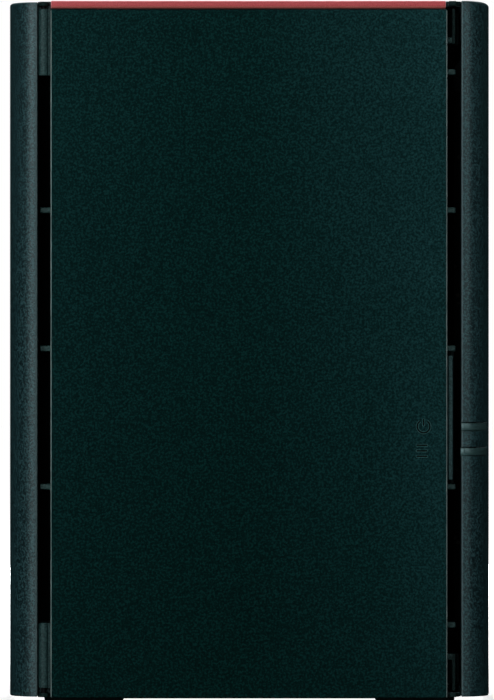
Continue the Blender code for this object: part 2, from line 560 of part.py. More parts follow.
# ------------------------------------------------------------------ fasteners on the back
for i, c in enumerate(REAR_SCREWS):
    head = rod(f"rear_screw_{i + 1}", "Y", c, 2.8, (102.0, 102.45), 16, M_SCREW)
    join(head, rod(f"rear_shank_{i + 1}", "Y", c, 1.4, (94.5, 102.2), 12, cutter=True))
for i, c in enumerate(fan_holes):
    head = rod(f"fan_screw_{i + 1}", "Y", c, 3.1, (102.0, 102.45), 16, M_SCREW)
    join(head, rod(f"fan_shank_{i + 1}", "Y", c, 1.75, (88.0, 102.2), 12, cutter=True))
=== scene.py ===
import json
import math

import bmesh
import bpy
from mathutils import Matrix, Vector

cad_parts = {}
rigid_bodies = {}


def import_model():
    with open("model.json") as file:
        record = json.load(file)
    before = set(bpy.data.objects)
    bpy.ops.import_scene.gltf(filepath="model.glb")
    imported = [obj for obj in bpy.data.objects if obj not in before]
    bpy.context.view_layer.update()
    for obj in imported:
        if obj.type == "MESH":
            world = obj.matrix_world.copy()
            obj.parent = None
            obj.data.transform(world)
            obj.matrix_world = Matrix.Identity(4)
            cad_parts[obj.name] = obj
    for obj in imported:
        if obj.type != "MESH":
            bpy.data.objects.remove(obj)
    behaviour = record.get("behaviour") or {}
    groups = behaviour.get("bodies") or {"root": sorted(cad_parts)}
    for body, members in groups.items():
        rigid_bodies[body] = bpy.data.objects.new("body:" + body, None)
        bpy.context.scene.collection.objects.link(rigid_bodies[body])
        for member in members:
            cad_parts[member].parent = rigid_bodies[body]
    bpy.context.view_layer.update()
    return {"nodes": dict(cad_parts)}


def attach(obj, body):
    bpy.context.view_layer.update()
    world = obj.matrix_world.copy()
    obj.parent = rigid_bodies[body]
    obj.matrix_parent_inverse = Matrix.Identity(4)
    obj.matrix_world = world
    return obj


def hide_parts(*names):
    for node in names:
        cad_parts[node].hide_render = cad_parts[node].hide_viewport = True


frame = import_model()
NODES = frame["nodes"]

# the start-up scene's own objects go
for o in list(bpy.data.objects):
    if o.name not in NODES and not o.name.startswith("body:"):
        bpy.data.objects.remove(o, do_unlink=True)

SCENE = bpy.context.scene
SCENE.view_settings.view_transform = "Standard"
SCENE.view_settings.look = "None"

# ------------------------------------------------------------------ dimensions, as in the CAD (mm)
XS, YR = 43.5, 102.5
Z_COVER, Z_TOP = 1.1, 127.0
PILLAR_X, PILLAR_Y, PILLAR_D, PILLAR_BACK = 38.35, -101.5, 8.0, -92.0
DOOR_X, DOOR_Y, DOOR_Z = 35.9, (-102.5, -100.3), (0.95, 125.45)
HINGE = (-37.2, -100.9)
LENS_Z = ((49.25, 50.6), (44.75, 46.1))
LENS_BACK = -97.0
FAN_C = (-9.3, 75.0)
REAR_Y = (99.7, 101.7)
RIBS = [64.1 + 25.04 * k for k in (-2, -1, 0, 1, 2)]
REAR_SCREWS = [(-35.5, 8.0), (35.5, 8.0), (-35.5, 120.0), (35.5, 120.0)]
FAN_SCREWS = [(FAN_C[0] + dx, FAN_C[1] + dz) for dx in (-25.0, 25.0) for dz in (-25.0, 25.0)]
FEET = {"front_left": (-30.1, -90.0), "front_right": (30.1, -90.0), "rear_left": (-30.1, 88.0), "rear_right": (30.1, 88.0)}


# ------------------------------------------------------------------ node materials
class Net:
    """A small helper round one material's node tree."""

    def __init__(self, name):
        self.m = bpy.data.materials.new(name)
        self.m.use_nodes = True
        self.t = self.m.node_tree
        self.t.nodes.clear()
        self.out = self.t.nodes.new("ShaderNodeOutputMaterial")
        self.b = self.t.nodes.new("ShaderNodeBsdfPrincipled")
        self.t.links.new(self.b.outputs[0], self.out.inputs[0])
        self.co = self.t.nodes.new("ShaderNodeTexCoord").outputs["Object"]

    def set(self, **kw):
        for k, v in kw.items():
            self.b.inputs[k.replace("_", " ")].default_value = v
        return self

    def link(self, a, name):
        self.t.links.new(a, self.b.inputs[name])
        return self

    def stretch(self, scale):
        n = self.t.nodes.new("ShaderNodeMapping")
        n.inputs["Scale"].default_value = scale
        self.t.links.new(self.co, n.inputs["Vector"])
        return n.outputs[0]

    def noise(self, size_mm, detail=2.0, rough=0.5, co=None, distortion=0.0):
        n = self.t.nodes.new("ShaderNodeTexNoise")
        n.inputs["Scale"].default_value = 1000.0 / size_mm
        n.inputs["Detail"].default_value = detail
        n.inputs["Roughness"].default_value = rough
        n.inputs["Distortion"].default_value = distortion
        self.t.links.new(co or self.co, n.inputs["Vector"])
        return n.outputs["Fac"]

    def cells(self, size_mm, co=None, feature="F1"):
        n = self.t.nodes.new("ShaderNodeTexVoronoi")
        n.feature = feature
        n.inputs["Scale"].default_value = 1000.0 / size_mm
        self.t.links.new(co or self.co, n.inputs["Vector"])
        return n.outputs["Distance"]

    def ramp(self, fac, stops):
        n = self.t.nodes.new("ShaderNodeValToRGB")
        while len(n.color_ramp.elements) < len(stops):
            n.color_ramp.elements.new(0.5)
        for e, (p, c) in zip(n.color_ramp.elements, stops):
            e.position = p
            e.color = (*c, 1.0)
        self.t.links.new(fac, n.inputs["Fac"])
        return n.outputs["Color"]

    def span(self, fac, lo, hi, a=0.0, b=1.0):
        n = self.t.nodes.new("ShaderNodeMapRange")
        n.inputs["From Min"].default_value = a
        n.inputs["From Max"].default_value = b
        n.inputs["To Min"].default_value = lo
        n.inputs["To Max"].default_value = hi
        self.t.links.new(fac, n.inputs["Value"])
        return n.outputs["Result"]

    def math(self, op, a, b):
        n = self.t.nodes.new("ShaderNodeMath")
        n.operation = op
        for i, v in enumerate((a, b)):
            if isinstance(v, (int, float)):
                n.inputs[i].default_value = v
            else:
                self.t.links.new(v, n.inputs[i])
        return n.outputs[0]

    def mix(self, fac, a, b, blend="MIX"):
        n = self.t.nodes.new("ShaderNodeMix")
        n.data_type = "RGBA"
        n.blend_type = blend
        for key, v in ((0, fac), (6, a), (7, b)):
            if isinstance(v, (int, float)):
                n.inputs[key].default_value = v
            elif isinstance(v, tuple):
                n.inputs[key].default_value = (*v, 1.0)
            else:
                self.t.links.new(v, n.inputs[key])
        return n.outputs[2]

    def bump(self, height, depth_mm, strength=1.0, after=None):
        n = self.t.nodes.new("ShaderNodeBump")
        n.inputs["Strength"].default_value = strength
        n.inputs["Distance"].default_value = depth_mm * 0.001
        self.t.links.new(height, n.inputs["Height"])
        if after is not None:
            self.t.links.new(after, n.inputs["Normal"])
        return n.outputs["Normal"]


def moulded(name, dark, mid, light, grain, depth, rough, spec, spread=0.10, blotch=16.0, tint=(1.0, 1.0, 1.0)):
    """Textured moulded plastic: a spark-eroded grain in colour and relief, slow changes in gloss."""
    n = Net(name)
    fine = n.noise(grain, 2.0, 0.6)
    pits = n.cells(grain * 1.9)
    broad = n.noise(blotch, 3.0, 0.55)
    colour = n.ramp(fine, [(0.5 - spread * 1.6, dark), (0.5, mid), (0.5 + spread * 1.6, light)])
    colour = n.mix(n.span(broad, 0.09, 0.13, 0.35, 0.7), colour, light)
    n.link(colour, "Base Color")
    n.link(n.math("ADD", n.span(broad, rough - 0.012, rough + 0.012, 0.3, 0.7), n.span(fine, -0.05, 0.05, 0.3, 0.7)), "Roughness")
    relief = n.math("ADD", fine, n.math("MULTIPLY", pits, 0.55))
    n.link(n.bump(relief, depth), "Normal")
    n.b.inputs["Specular IOR Level"].default_value = spec
    n.b.inputs["Specular Tint"].default_value = (*tint, 1.0)
    return n


def door_finish():
    """The door's deep black-green texture: sparkling grain, with painted light that lightens it towards its two long
    edges, its top and the lower half of its opening edge.
    """
    n = Net("door_grain_painted_light")
    fine = n.noise(0.385, 2.0, 0.65)
    pits = n.cells(0.60)
    broad = n.noise(22.0, 3.0, 0.55)
    colour = n.ramp(fine, [(0.36, (0.0000, 0.0003, 0.0003)), (0.50, (0.0002, 0.0042, 0.0036)), (0.64, (0.0020, 0.0178, 0.0158))])
    split = n.t.nodes.new("ShaderNodeSeparateXYZ")
    n.t.links.new(n.co, split.inputs[0])
    # painted light, lightest along the opening side, less along the hinge side, more at the top than the foot;
    # a further band of painted light along the lower half of the opening edge
    opening = n.span(split.outputs["X"], 0.0, 0.55, 0.0, 0.033)
    hinge = n.span(split.outputs["X"], 0.17, 0.0, -0.034, -0.012)
    height = n.span(split.outputs["Z"], 0.36, 1.0, 0.0, 0.122)
    painted_light = n.math("MULTIPLY", n.math("ADD", opening, hinge), n.math("MULTIPLY", height, n.span(broad, 0.7, 1.3, 0.3, 0.7)))
    painted_light = n.math("ADD", painted_light, n.span(split.outputs["Z"], 0.0, 0.14, 0.0, 0.122))
    reach = n.math("POWER", n.math("ABSOLUTE", n.math("DIVIDE", n.math("SUBTRACT", split.outputs["Z"], 0.035), 0.055), 0.0), 2.0)
    lower_opening_light = n.math("MULTIPLY", n.math("MAXIMUM", n.math("SUBTRACT", 1.0, reach), 0.0), n.span(split.outputs["X"], 0.0, 0.25, 0.022, 0.0345))
    painted_light = n.math("ADD", painted_light, lower_opening_light)
    # a lighter copy of the same grain colour, mixed in as the painted light
    painted_lit_colour = n.ramp(fine, [(0.36, (0.0028, 0.0108, 0.0118)), (0.50, (0.0064, 0.0246, 0.0268)), (0.64, (0.0125, 0.0455, 0.0495))])
    colour = n.mix(painted_light, colour, painted_lit_colour)
    n.link(colour, "Base Color")
    n.link(n.math("ADD", n.span(broad, 0.56, 0.66, 0.3, 0.7), n.span(fine, -0.06, 0.06, 0.3, 0.7)), "Roughness")
    n.link(n.bump(n.math("ADD", fine, n.math("MULTIPLY", pits, 0.6)), 0.024), "Normal")
    n.b.inputs["Specular IOR Level"].default_value = 0.10
    n.b.inputs["Specular Tint"].default_value = (0.16, 0.95, 0.92, 1.0)
    return n.m


def edge_highlight_finish():
    """Door edge highlight: the same plastic, smoother and paler as a painted highlight on the bevel, streaked along the
    edge.
    """
    n = Net("door_edge_painted_highlight")
    streak = n.noise(0.7, 3.0, 0.6, n.stretch((1.0, 1.0, 0.25)))
    broad = n.noise(14.0, 2.0, 0.5)
    colour = n.ramp(streak, [(0.34, (0.088, 0.138, 0.135)), (0.5, (0.136, 0.200, 0.196)), (0.66, (0.190, 0.264, 0.258))])
    colour = n.mix(n.span(broad, 0.0, 0.30, 0.35, 0.7), colour, (0.052, 0.084, 0.082))
    n.link(colour, "Base Color").link(n.span(streak, 0.30, 0.46, 0.3, 0.7), "Roughness")
    n.link(n.bump(streak, 0.006), "Normal")
    n.b.inputs["Specular IOR Level"].default_value = 0.45
    return n.m


M = {}
M["door"] = door_finish()
M["edge"] = edge_highlight_finish()
M["body"] = moulded("body_satin", (0.0002, 0.0028, 0.0036), (0.0042, 0.0205, 0.0240), (0.0200, 0.0580, 0.0640), 0.36, 0.034, 0.42, 0.45, 0.052, tint=(0.70, 0.96, 1.0)).m
M["body_edge"] = moulded("body_edge_painted_highlight", (0.0215, 0.0430, 0.0450), (0.0360, 0.0630, 0.0660), (0.0570, 0.0880, 0.0920), 0.38, 0.012, 0.42, 0.45, 0.10, tint=(0.70, 0.96, 1.0)).m
M["rib"] = moulded("rib_painted_highlight_matte", (0.0050, 0.0220, 0.0210), (0.0170, 0.0480, 0.0450), (0.0360, 0.0800, 0.0760), 0.36, 0.014, 0.50, 0.30, 0.085, tint=(0.70, 0.97, 1.0)).m
M["tongue"] = moulded("tongue_matte", (0.0010, 0.0050, 0.0050), (0.0030, 0.0100, 0.0095), (0.0070, 0.0180, 0.0170), 0.36, 0.012, 0.60, 0.12, 0.085, tint=(0.60, 0.97, 0.95)).m
M["inner"] = moulded("inner_matte", (0.0012, 0.0110, 0.0110), (0.0075, 0.0270, 0.0270), (0.0200, 0.0500, 0.0500), 0.36, 0.014, 0.52, 0.30, 0.085, tint=(0.70, 0.97, 1.0)).m
M["bezel"] = moulded("bezel_painted_shade_matte", (0.0006, 0.0024, 0.0024), (0.0016, 0.0048, 0.0048), (0.0036, 0.0090, 0.0090), 0.36, 0.012, 0.66, 0.08, 0.085, tint=(0.60, 0.97, 0.97)).m
M["screen"] = moulded("shade_sheet_matte", (0.0003, 0.0007, 0.0007), (0.0006, 0.0013, 0.0013), (0.0012, 0.0024, 0.0024), 0.36, 0.010, 0.75, 0.05, 0.085, tint=(0.60, 0.97, 0.97)).m
M["post"] = moulded("post_matte", (0.0014, 0.0075, 0.0070), (0.0050, 0.0170, 0.0160), (0.0115, 0.0300, 0.0285), 0.36, 0.012, 0.56, 0.20, 0.085, tint=(0.65, 0.97, 0.97)).m
M["latch"] = moulded("latch_painted_highlight_matte", (0.0060, 0.0260, 0.0275), (0.0160, 0.0500, 0.0525), (0.0320, 0.0810, 0.0850), 0.36, 0.012, 0.50, 0.32, 0.085, tint=(0.70, 0.97, 1.0)).m
M["mark"] = moulded("mark_chamfer_painted_highlight", (0.0130, 0.0460, 0.0470), (0.0270, 0.0780, 0.0790), (0.0460, 0.1150, 0.1160), 0.30, 0.010, 0.60, 0.12, 0.10, tint=(0.40, 0.97, 0.95)).m
M["fan"] = moulded("fan_plastic", (0.0060, 0.0066, 0.0068), (0.0085, 0.0092, 0.0095), (0.0125, 0.0135, 0.0140), 0.5, 0.008, 0.42, 0.45).m
M["socket"] = moulded("socket_plastic", (0.0060, 0.0062, 0.0064), (0.0090, 0.0093, 0.0095), (0.0130, 0.0134, 0.0138), 0.25, 0.006, 0.38, 0.45).m
M["button"] = moulded("button_grey", (0.055, 0.062, 0.064), (0.075, 0.083, 0.085), (0.098, 0.107, 0.110), 0.28, 0.010, 0.46, 0.45).m
M["rubber"] = moulded("foot_rubber", (0.0075, 0.0078, 0.0080), (0.0125, 0.0130, 0.0132), (0.0220, 0.0226, 0.0230), 0.55, 0.030, 0.86, 0.25).m
M["lead"] = moulded("lead_sleeve", (0.0060, 0.0060, 0.0062), (0.0100, 0.0100, 0.0103), (0.0160, 0.0160, 0.0165), 0.6, 0.010, 0.6, 0.35).m


def accent(name, highlight, underside_shade=0.0):
    """The strip's moulded red, paled for a painted highlight on its ends and greyed for painted shade where its lower
    edge turns under.
    """
    n = Net(name)
    fine = n.noise(0.22, 2.0, 0.55)
    broad = n.noise(9.0, 3.0, 0.5)
    c = n.ramp(fine, [(0.33, (0.350, 0.036 + underside_shade * 0.052, 0.042 + underside_shade * 0.036)), (0.5, (0.420, 0.048 + underside_shade * 0.054, 0.055 + underside_shade * 0.037)), (0.67, (0.490, 0.067 + underside_shade * 0.056, 0.074 + underside_shade * 0.038))])
    c = n.mix(n.span(broad, highlight, 0.3 + highlight, 0.35, 0.7), c, (0.50 + 0.35 * highlight, 0.078 + 0.4 * highlight + 0.05 * underside_shade, 0.084 + 0.4 * highlight + 0.035 * underside_shade))
    n.link(c, "Base Color").link(n.span(broad, 0.34, 0.46, 0.3, 0.7), "Roughness")
    n.link(n.bump(fine, 0.006), "Normal")
    n.set(Specular_IOR_Level=0.30, Subsurface_Weight=0.12, Subsurface_Radius=(0.001, 0.0004, 0.0004), Subsurface_Scale=0.4)
    return n.m


def lens():
    """Smoked, slightly milky light guide with a faint moulded streak along it."""
    n = Net("lens_smoke")
    streak = n.noise(0.5, 3.0, 0.6, n.stretch((0.18, 0.18, 2.2)))
    cloud = n.noise(1.6, 2.0, 0.5)
    c = n.ramp(streak, [(0.32, (0.014, 0.042, 0.042)), (0.5, (0.022, 0.058, 0.058)), (0.68, (0.032, 0.076, 0.076))])
    c = n.mix(n.span(cloud, 0.0, 0.3, 0.35, 0.7), c, (0.026, 0.062, 0.062))
    n.link(c, "Base Color").link(n.span(cloud, 0.36, 0.46, 0.3, 0.7), "Roughness")
    n.link(n.bump(streak, 0.003), "Normal")
    n.set(Specular_IOR_Level=0.9, Specular_Tint=(0.68, 0.96, 1.0, 1.0), Transmission_Weight=0.06, Subsurface_Weight=0.2, Subsurface_Radius=(0.0012, 0.0014, 0.0014), Subsurface_Scale=0.4)
    return n.m


def metal(name, dark, light, rough, grain, direction=None, depth=0.004, metallic=1.0):
    """Bare or plated metal: drawn streaks or a fine crystalline grain."""
    n = Net(name)
    co = n.stretch(direction) if direction else None
    streak = n.noise(grain, 4.0, 0.6, co)
    spangle = n.noise(grain * 14.0, 3.0, 0.6)
    c = n.ramp(streak, [(0.3, dark), (0.7, light)])
    c = n.mix(n.span(spangle, 0.0, 0.45, 0.35, 0.65), c, dark)
    n.link(c, "Base Color")
    n.link(n.math("ADD", n.span(streak, rough - 0.08, rough + 0.08, 0.3, 0.7), n.span(spangle, -0.06, 0.06, 0.3, 0.7)), "Roughness")
    n.link(n.bump(streak, depth), "Normal")
    n.b.inputs["Metallic"].default_value = metallic
    return n.m


M["lens"] = lens()
M["red"] = accent("accent_red", 0.0)
M["red_edge"] = accent("accent_red_painted_highlight", 0.55)
M["red_low"] = accent("accent_red_painted_shade", 0.0, 1.0)
M["zinc"] = metal("zinc_sheet", (0.36, 0.37, 0.38), (0.58, 0.59, 0.60), 0.40, 0.8)
M["alloy"] = metal("drive_alloy", (0.40, 0.41, 0.42), (0.56, 0.57, 0.58), 0.42, 0.35, (1.0, 0.12, 1.0))
M["pin"] = metal("ground_steel", (0.46, 0.46, 0.46), (0.64, 0.64, 0.64), 0.24, 0.15, (1.0, 1.0, 0.1))
M["oxide"] = metal("black_oxide_steel", (0.005, 0.0055, 0.006), (0.013, 0.014, 0.015), 0.62, 0.15, (1.0, 1.0, 0.1))
M["screw"] = metal("black_screw", (0.020, 0.020, 0.021), (0.048, 0.048, 0.050), 0.34, 0.3)
M["nickel"] = metal("nickel_shell", (0.27, 0.265, 0.255), (0.40, 0.39, 0.375), 0.40, 0.25, (1.0, 0.15, 1.0), metallic=0.70)
M["gold"] = metal("contact_gold", (0.60, 0.40, 0.10), (0.80, 0.58, 0.20), 0.22, 0.2)
M["sink"] = metal("heatsink_alloy", (0.44, 0.44, 0.46), (0.60, 0.60, 0.62), 0.34, 0.3, (1.0, 1.0, 0.1))


def board():
    """Solder-masked board: dark traces in a grid of runs, small pads."""
    n = Net("board_mask")
    run_a = n.noise(2.2, 1.0, 0.5, n.stretch((1.0, 0.12, 1.0)))
    run_b = n.noise(2.2, 1.0, 0.5, n.stretch((1.0, 1.0, 0.12)))
    pads = n.cells(3.2)
    grain = n.noise(0.4, 2.0, 0.5)
    c = n.ramp(run_a, [(0.46, (0.0022, 0.0075, 0.0060)), (0.52, (0.0045, 0.0135, 0.0110))])
    c2 = n.ramp(run_b, [(0.46, (0.0020, 0.0070, 0.0055)), (0.52, (0.0048, 0.0145, 0.0115))])
    c = n.mix(0.5, c, c2)
    c = n.mix(n.span(pads, 1.0, 0.0, 0.10, 0.13), c, (0.060, 0.058, 0.048))
    n.link(c, "Base Color").link(n.span(grain, 0.58, 0.72, 0.3, 0.7), "Roughness")
    n.link(n.bump(n.math("ADD", run_a, run_b), 0.02), "Normal")
    n.set(Specular_IOR_Level=0.12)
    return n.m


M["board"] = board()


# ------------------------------------------------------------------ mesh helpers (arguments in mm)
def link(obj):
    SCENE.collection.objects.link(obj)
    return obj


def from_bm(name, bm):
    mesh = bpy.data.meshes.new(name)
    bm.to_mesh(mesh)
    bm.free()
    return link(bpy.data.objects.new(name, mesh))


def block(name, x, y, z, bevel=0.2, segments=2):
    """A block with rounded edges."""
    bm = bmesh.new()
    bmesh.ops.create_cube(bm, size=1.0)
    for v in bm.verts:
        v.co = Vector(((x[0] + x[1]) / 2 + v.co.x * (x[1] - x[0]),
                       (y[0] + y[1]) / 2 + v.co.y * (y[1] - y[0]),
                       (z[0] + z[1]) / 2 + v.co.z * (z[1] - z[0]))) * 0.001
    if bevel:
        bmesh.ops.bevel(bm, geom=list(bm.edges), offset=bevel * 0.001, segments=segments, profile=0.5, affect="EDGES", clamp_overlap=True)
    return from_bm(name, bm)


PLANE = {"XY": (0.0, 0.0, 0.0), "XZ": (math.pi / 2, 0.0, 0.0), "YZ": (math.pi / 2, 0.0, math.pi / 2)}


def sheet(name, plane, loops, span, bevel=0.0, resolution=1):
    """A flat outline with holes given a thickness, its edges rounded over."""
    data = bpy.data.curves.new(name, "CURVE")
    data.dimensions = "2D"
    data.fill_mode = "BOTH"
    data.extrude = ((span[1] - span[0]) / 2 - bevel) * 0.001
    if bevel:
        data.bevel_depth = bevel * 0.001
        data.bevel_resolution = resolution
        data.offset = -bevel * 0.001
    for loop in loops:
        s = data.splines.new("POLY")
        s.points.add(len(loop) - 1)
        for p, (u, v) in zip(s.points, loop):
            p.co = (u * 0.001, v * 0.001, 0.0, 1.0)
        s.use_cyclic_u = True
    curve = link(bpy.data.objects.new(name + "_outline", data))
    mid = (span[0] + span[1]) * 0.0005
    curve.rotation_euler = PLANE[plane]
    curve.location = {"XY": (0, 0, mid), "XZ": (0, mid, 0), "YZ": (mid, 0, 0)}[plane]
    return from_curve(name, curve)


def from_curve(name, curve):
    bpy.context.view_layer.update()
    graph = bpy.context.evaluated_depsgraph_get()
    mesh = bpy.data.meshes.new_from_object(curve.evaluated_get(graph))
    mesh.transform(curve.matrix_world)
    bpy.data.objects.remove(curve, do_unlink=True)
    bm = bmesh.new()
    bm.from_mesh(mesh)
    bpy.data.meshes.remove(mesh)
    bmesh.ops.remove_doubles(bm, verts=bm.verts, dist=2e-6)
    bmesh.ops.recalc_face_normals(bm, faces=bm.faces)
    return from_bm(name, bm)


def rod(name, axis, centre, r, span, segs=32, bevel=0.0, r2=None):
    """A turned pin with eased ends."""
    bm = bmesh.new()
    bmesh.ops.create_cone(bm, cap_ends=True, segments=segs, radius1=r * 0.001, radius2=(r if r2 is None else r2) * 0.001,
                          depth=(span[1] - span[0]) * 0.001)
    if bevel:
        rim = [e for e in bm.edges if abs(e.verts[0].co.z - e.verts[1].co.z) < 1e-9]
        bmesh.ops.bevel(bm, geom=rim, offset=bevel * 0.001, segments=2, profile=0.5, affect="EDGES", clamp_overlap=True)
    turn = {"X": Matrix.Rotation(math.pi / 2, 4, "Y"), "Y": Matrix.Rotation(-math.pi / 2, 4, "X"), "Z": Matrix.Identity(4)}[axis]
    mid, (a, b) = (span[0] + span[1]) / 2, centre
    place = {"X": (mid, a, b), "Y": (a, mid, b), "Z": (a, b, mid)}[axis]
    bmesh.ops.transform(bm, matrix=Matrix.Translation(Vector(place) * 0.001) @ turn, verts=bm.verts)
    return from_bm(name, bm)


def boolean(obj, others, operation):
    for other in others:
        m = obj.modifiers.new("b", "BOOLEAN")
        m.operation, m.object, m.solver = operation, other, "EXACT"
    bake(obj)
    for other in others:
        bpy.data.objects.remove(other, do_unlink=True)
    return obj


def cut(obj, *others):
    return boolean(obj, others, "DIFFERENCE")


def bake(obj):
    """Turn an object's modifiers into its mesh."""
    bpy.context.view_layer.update()
    graph = bpy.context.evaluated_depsgraph_get()
    mesh = bpy.data.meshes.new_from_object(obj.evaluated_get(graph))
    obj.modifiers.clear()
    obj.data = mesh
    return obj


def merge(name, *objs):
    """One object from several closed shells, keeping each one's materials."""
    bm = bmesh.new()
    mats = []
    for o in objs:
        start = len(bm.faces)
        bm.from_mesh(o.data)
        bm.faces.ensure_lookup_table()
        own = list(o.data.materials) or [None]
        shift = []
        for m in own:
            if m not in mats:
                mats.append(m)
            shift.append(mats.index(m))
        for f in bm.faces[start:]:
            f.material_index = shift[min(f.material_index, len(shift) - 1)]
        bpy.data.objects.remove(o, do_unlink=True)
    out = from_bm(name, bm)
    for m in mats:
        if m is not None:
            out.data.materials.append(m)
    return out


def paint(obj, mat):
    obj.data.materials.clear()
    obj.data.materials.append(mat)
    return obj


def piece(obj, mat, body, nodes=(), angle=38.0, weighted=True):
    """Finish a piece: material, smooth shading with crisp corners, its body and the node it stands for."""
    if mat is not None:
        paint(obj, mat)
    obj.data.shade_smooth()
    obj.data.set_sharp_from_angle(angle=math.radians(angle))
    if weighted:
        w = obj.modifiers.new("normals", "WEIGHTED_NORMAL")
        w.keep_sharp = True
        w.weight = 80
        bake(obj)
    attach(obj, body)
    if nodes:
        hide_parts(*((nodes,) if isinstance(nodes, str) else nodes))
    return obj


def rect(x, y):
    return [(x[0], y[0]), (x[1], y[0]), (x[1], y[1]), (x[0], y[1])]


def round_rect(x, y, r, n=5):
    pts = []
    for cx, cy, a0 in ((x[1] - r, y[0] + r, -90), (x[1] - r, y[1] - r, 0), (x[0] + r, y[1] - r, 90), (x[0] + r, y[0] + r, 180)):
        for i in range(n + 1):
            a = math.radians(a0 + 90 * i / n)
            pts.append((cx + r * math.cos(a), cy + r * math.sin(a)))
    return pts


def circle(c, r, n=48, a0=0.0):
    return [(c[0] + r * math.cos(a0 + 2 * math.pi * i / n), c[1] + r * math.sin(a0 + 2 * math.pi * i / n)) for i in range(n)]


def sector(c, r0, r1, a0, a1, n):
    out = [(c[0] + r1 * math.cos(a0 + (a1 - a0) * i / n), c[1] + r1 * math.sin(a0 + (a1 - a0) * i / n)) for i in range(n + 1)]
    inn = [(c[0] + r0 * math.cos(a1 + (a0 - a1) * i / n), c[1] + r0 * math.sin(a1 + (a0 - a1) * i / n)) for i in range(n + 1)]
    return out + inn


# ------------------------------------------------------------------ side covers and light bands
def pillar_curve(t0=4.0, t1=90.0, n=26):
    a = XS - PILLAR_X
    return [(PILLAR_X + a * math.sin(math.radians(t0 + (t1 - t0) * i / n)),
             PILLAR_Y + PILLAR_D - PILLAR_D * math.cos(math.radians(t0 + (t1 - t0) * i / n))) for i in range(n + 1)]


def side_cover(name, side, roll_w, roll_h, top_z):
    """A cover lofted from rings: its long outer edge is rolled over at the top, every other edge only eased."""
    rr = 3.5
    outer = [(PILLAR_X, PILLAR_Y + 0.30), (PILLAR_X + 0.06, PILLAR_Y + 0.13), (PILLAR_X + 0.19, PILLAR_Y + 0.04)] + pillar_curve(n=34)
    outer += [(XS, -60.0), (XS, 0.0), (XS, 60.0)]
    outer += [(XS - rr + rr * math.cos(math.radians(9 * i)), YR - rr + rr * math.sin(math.radians(9 * i))) for i in range(11)]
    plan = outer + [(XS - rr, 100.5), (XS - 2.0, 100.5), (XS - 2.0, PILLAR_BACK), (PILLAR_X, PILLAR_BACK)]
    n, bm = len(plan), bmesh.new()
    rows = []
    for i, (u, v) in enumerate(plan):
        before, after = Vector(plan[i - 1]), Vector(plan[(i + 1) % n])
        here = Vector((u, v))
        d = (here - before).normalized() + (after - here).normalized()
        out_n = Vector((d.y, -d.x)).normalized()
        roll = max(0.0, out_n.x) ** 2 if i < len(outer) else 0.0
        rows.append((here, out_n, 0.14 + roll_w * roll, 0.14 + roll_h * roll, 0.14 + 0.16 * roll))
    rings = []
    for k in range(4):
        a = math.pi / 2 * k / 3
        rings.append([(p - m * lo * (1 - math.sin(a)), Z_COVER + lo * (1 - math.cos(a))) for p, m, _, _, lo in rows])
    for k in range(7):
        a = math.pi / 2 * k / 6
        rings.append([(p - m * w * (1 - math.cos(a)), top_z - h * (1 - math.sin(a))) for p, m, w, h, _ in rows])
    mesh = [[bm.verts.new((side * p.x * 0.001, p.y * 0.001, z * 0.001)) for p, z in ring] for ring in rings]
    for lo, hi in zip(mesh, mesh[1:]):
        for i in range(n):
            j = (i + 1) % n
            bm.faces.new((lo[i], lo[j], hi[j], hi[i]))
    bm.faces.new(mesh[-1])
    bm.faces.new(mesh[0][::-1])
    bmesh.ops.recalc_face_normals(bm, faces=bm.faces)
    return from_bm(name, bm)


def painted_light(cover):
    """The sharp inner edge of a pillar gets a paler material as a painted highlight."""
    paint(cover, M["body"])
    cover.data.materials.append(M["body_edge"])
    for poly in cover.data.polygons:
        # the inner edge facets take the paler material: a painted highlight
        if -0.03868 < poly.center.x < 0.03856 and poly.center.y < -0.1011 and poly.normal.y < -0.2:
            poly.material_index = 1
    return cover


piece(painted_light(side_cover("cover_left", -1, 0.55, 0.42, Z_TOP - 0.24)), None, "enclosure", "left_side_cover", 32)
cover = painted_light(side_cover("cover_right", 1, 1.55, 0.80, Z_TOP))
slots = []
for z0, z1 in LENS_Z:
    slots += [block("slot", (37.0, 45.0), (-104.0, LENS_BACK + 0.1), (z0 - 0.10, z1 + 0.24), 0),
              block("slot", (39.3, 41.1), (-98.0, -91.0), (z0 - 0.10, z1 + 0.24), 0)]
cut(cover, *slots)
piece(cover, None, "enclosure", "right_side_cover", 32)

for label, (z0, z1), inset in (("upper", LENS_Z[0], 0.0), ("lower", LENS_Z[1], 0.16)):
    back_t = math.degrees(math.acos((PILLAR_Y + PILLAR_D - LENS_BACK) / PILLAR_D))
    face = [(PILLAR_X - inset, PILLAR_Y + 0.30), (PILLAR_X + 0.06 - inset, PILLAR_Y + 0.12)] + pillar_curve(4.0, back_t, 22)
    tail = [(40.9, LENS_BACK), (40.9, -91.4), (39.5, -91.4), (39.5, LENS_BACK), (PILLAR_X - inset, LENS_BACK)]
    piece(sheet(f"band_{label}", "XY", [face + tail], (z0, z1), 0.09, 1), M["lens"], "enclosure", f"status_lens_{label}")


# ------------------------------------------------------------------ top cover, base, feet
def plan_outline():
    w, wf, wr = 41.2, 38.05, 39.7
    shoulder, heel, front, back = -91.6, 100.1, -98.0, 102.2
    return [(-wf, shoulder), (-wf, front), (-35.2, front + 0.05), (-35.0, front - 1.2), (wf, front - 1.25), (wf, shoulder), (w, shoulder + 0.8),
            (w, heel - 0.5), (wr, heel), (wr, back), (-wr, back), (-wr, heel), (-w, heel - 0.5), (-w, shoulder + 0.8)]


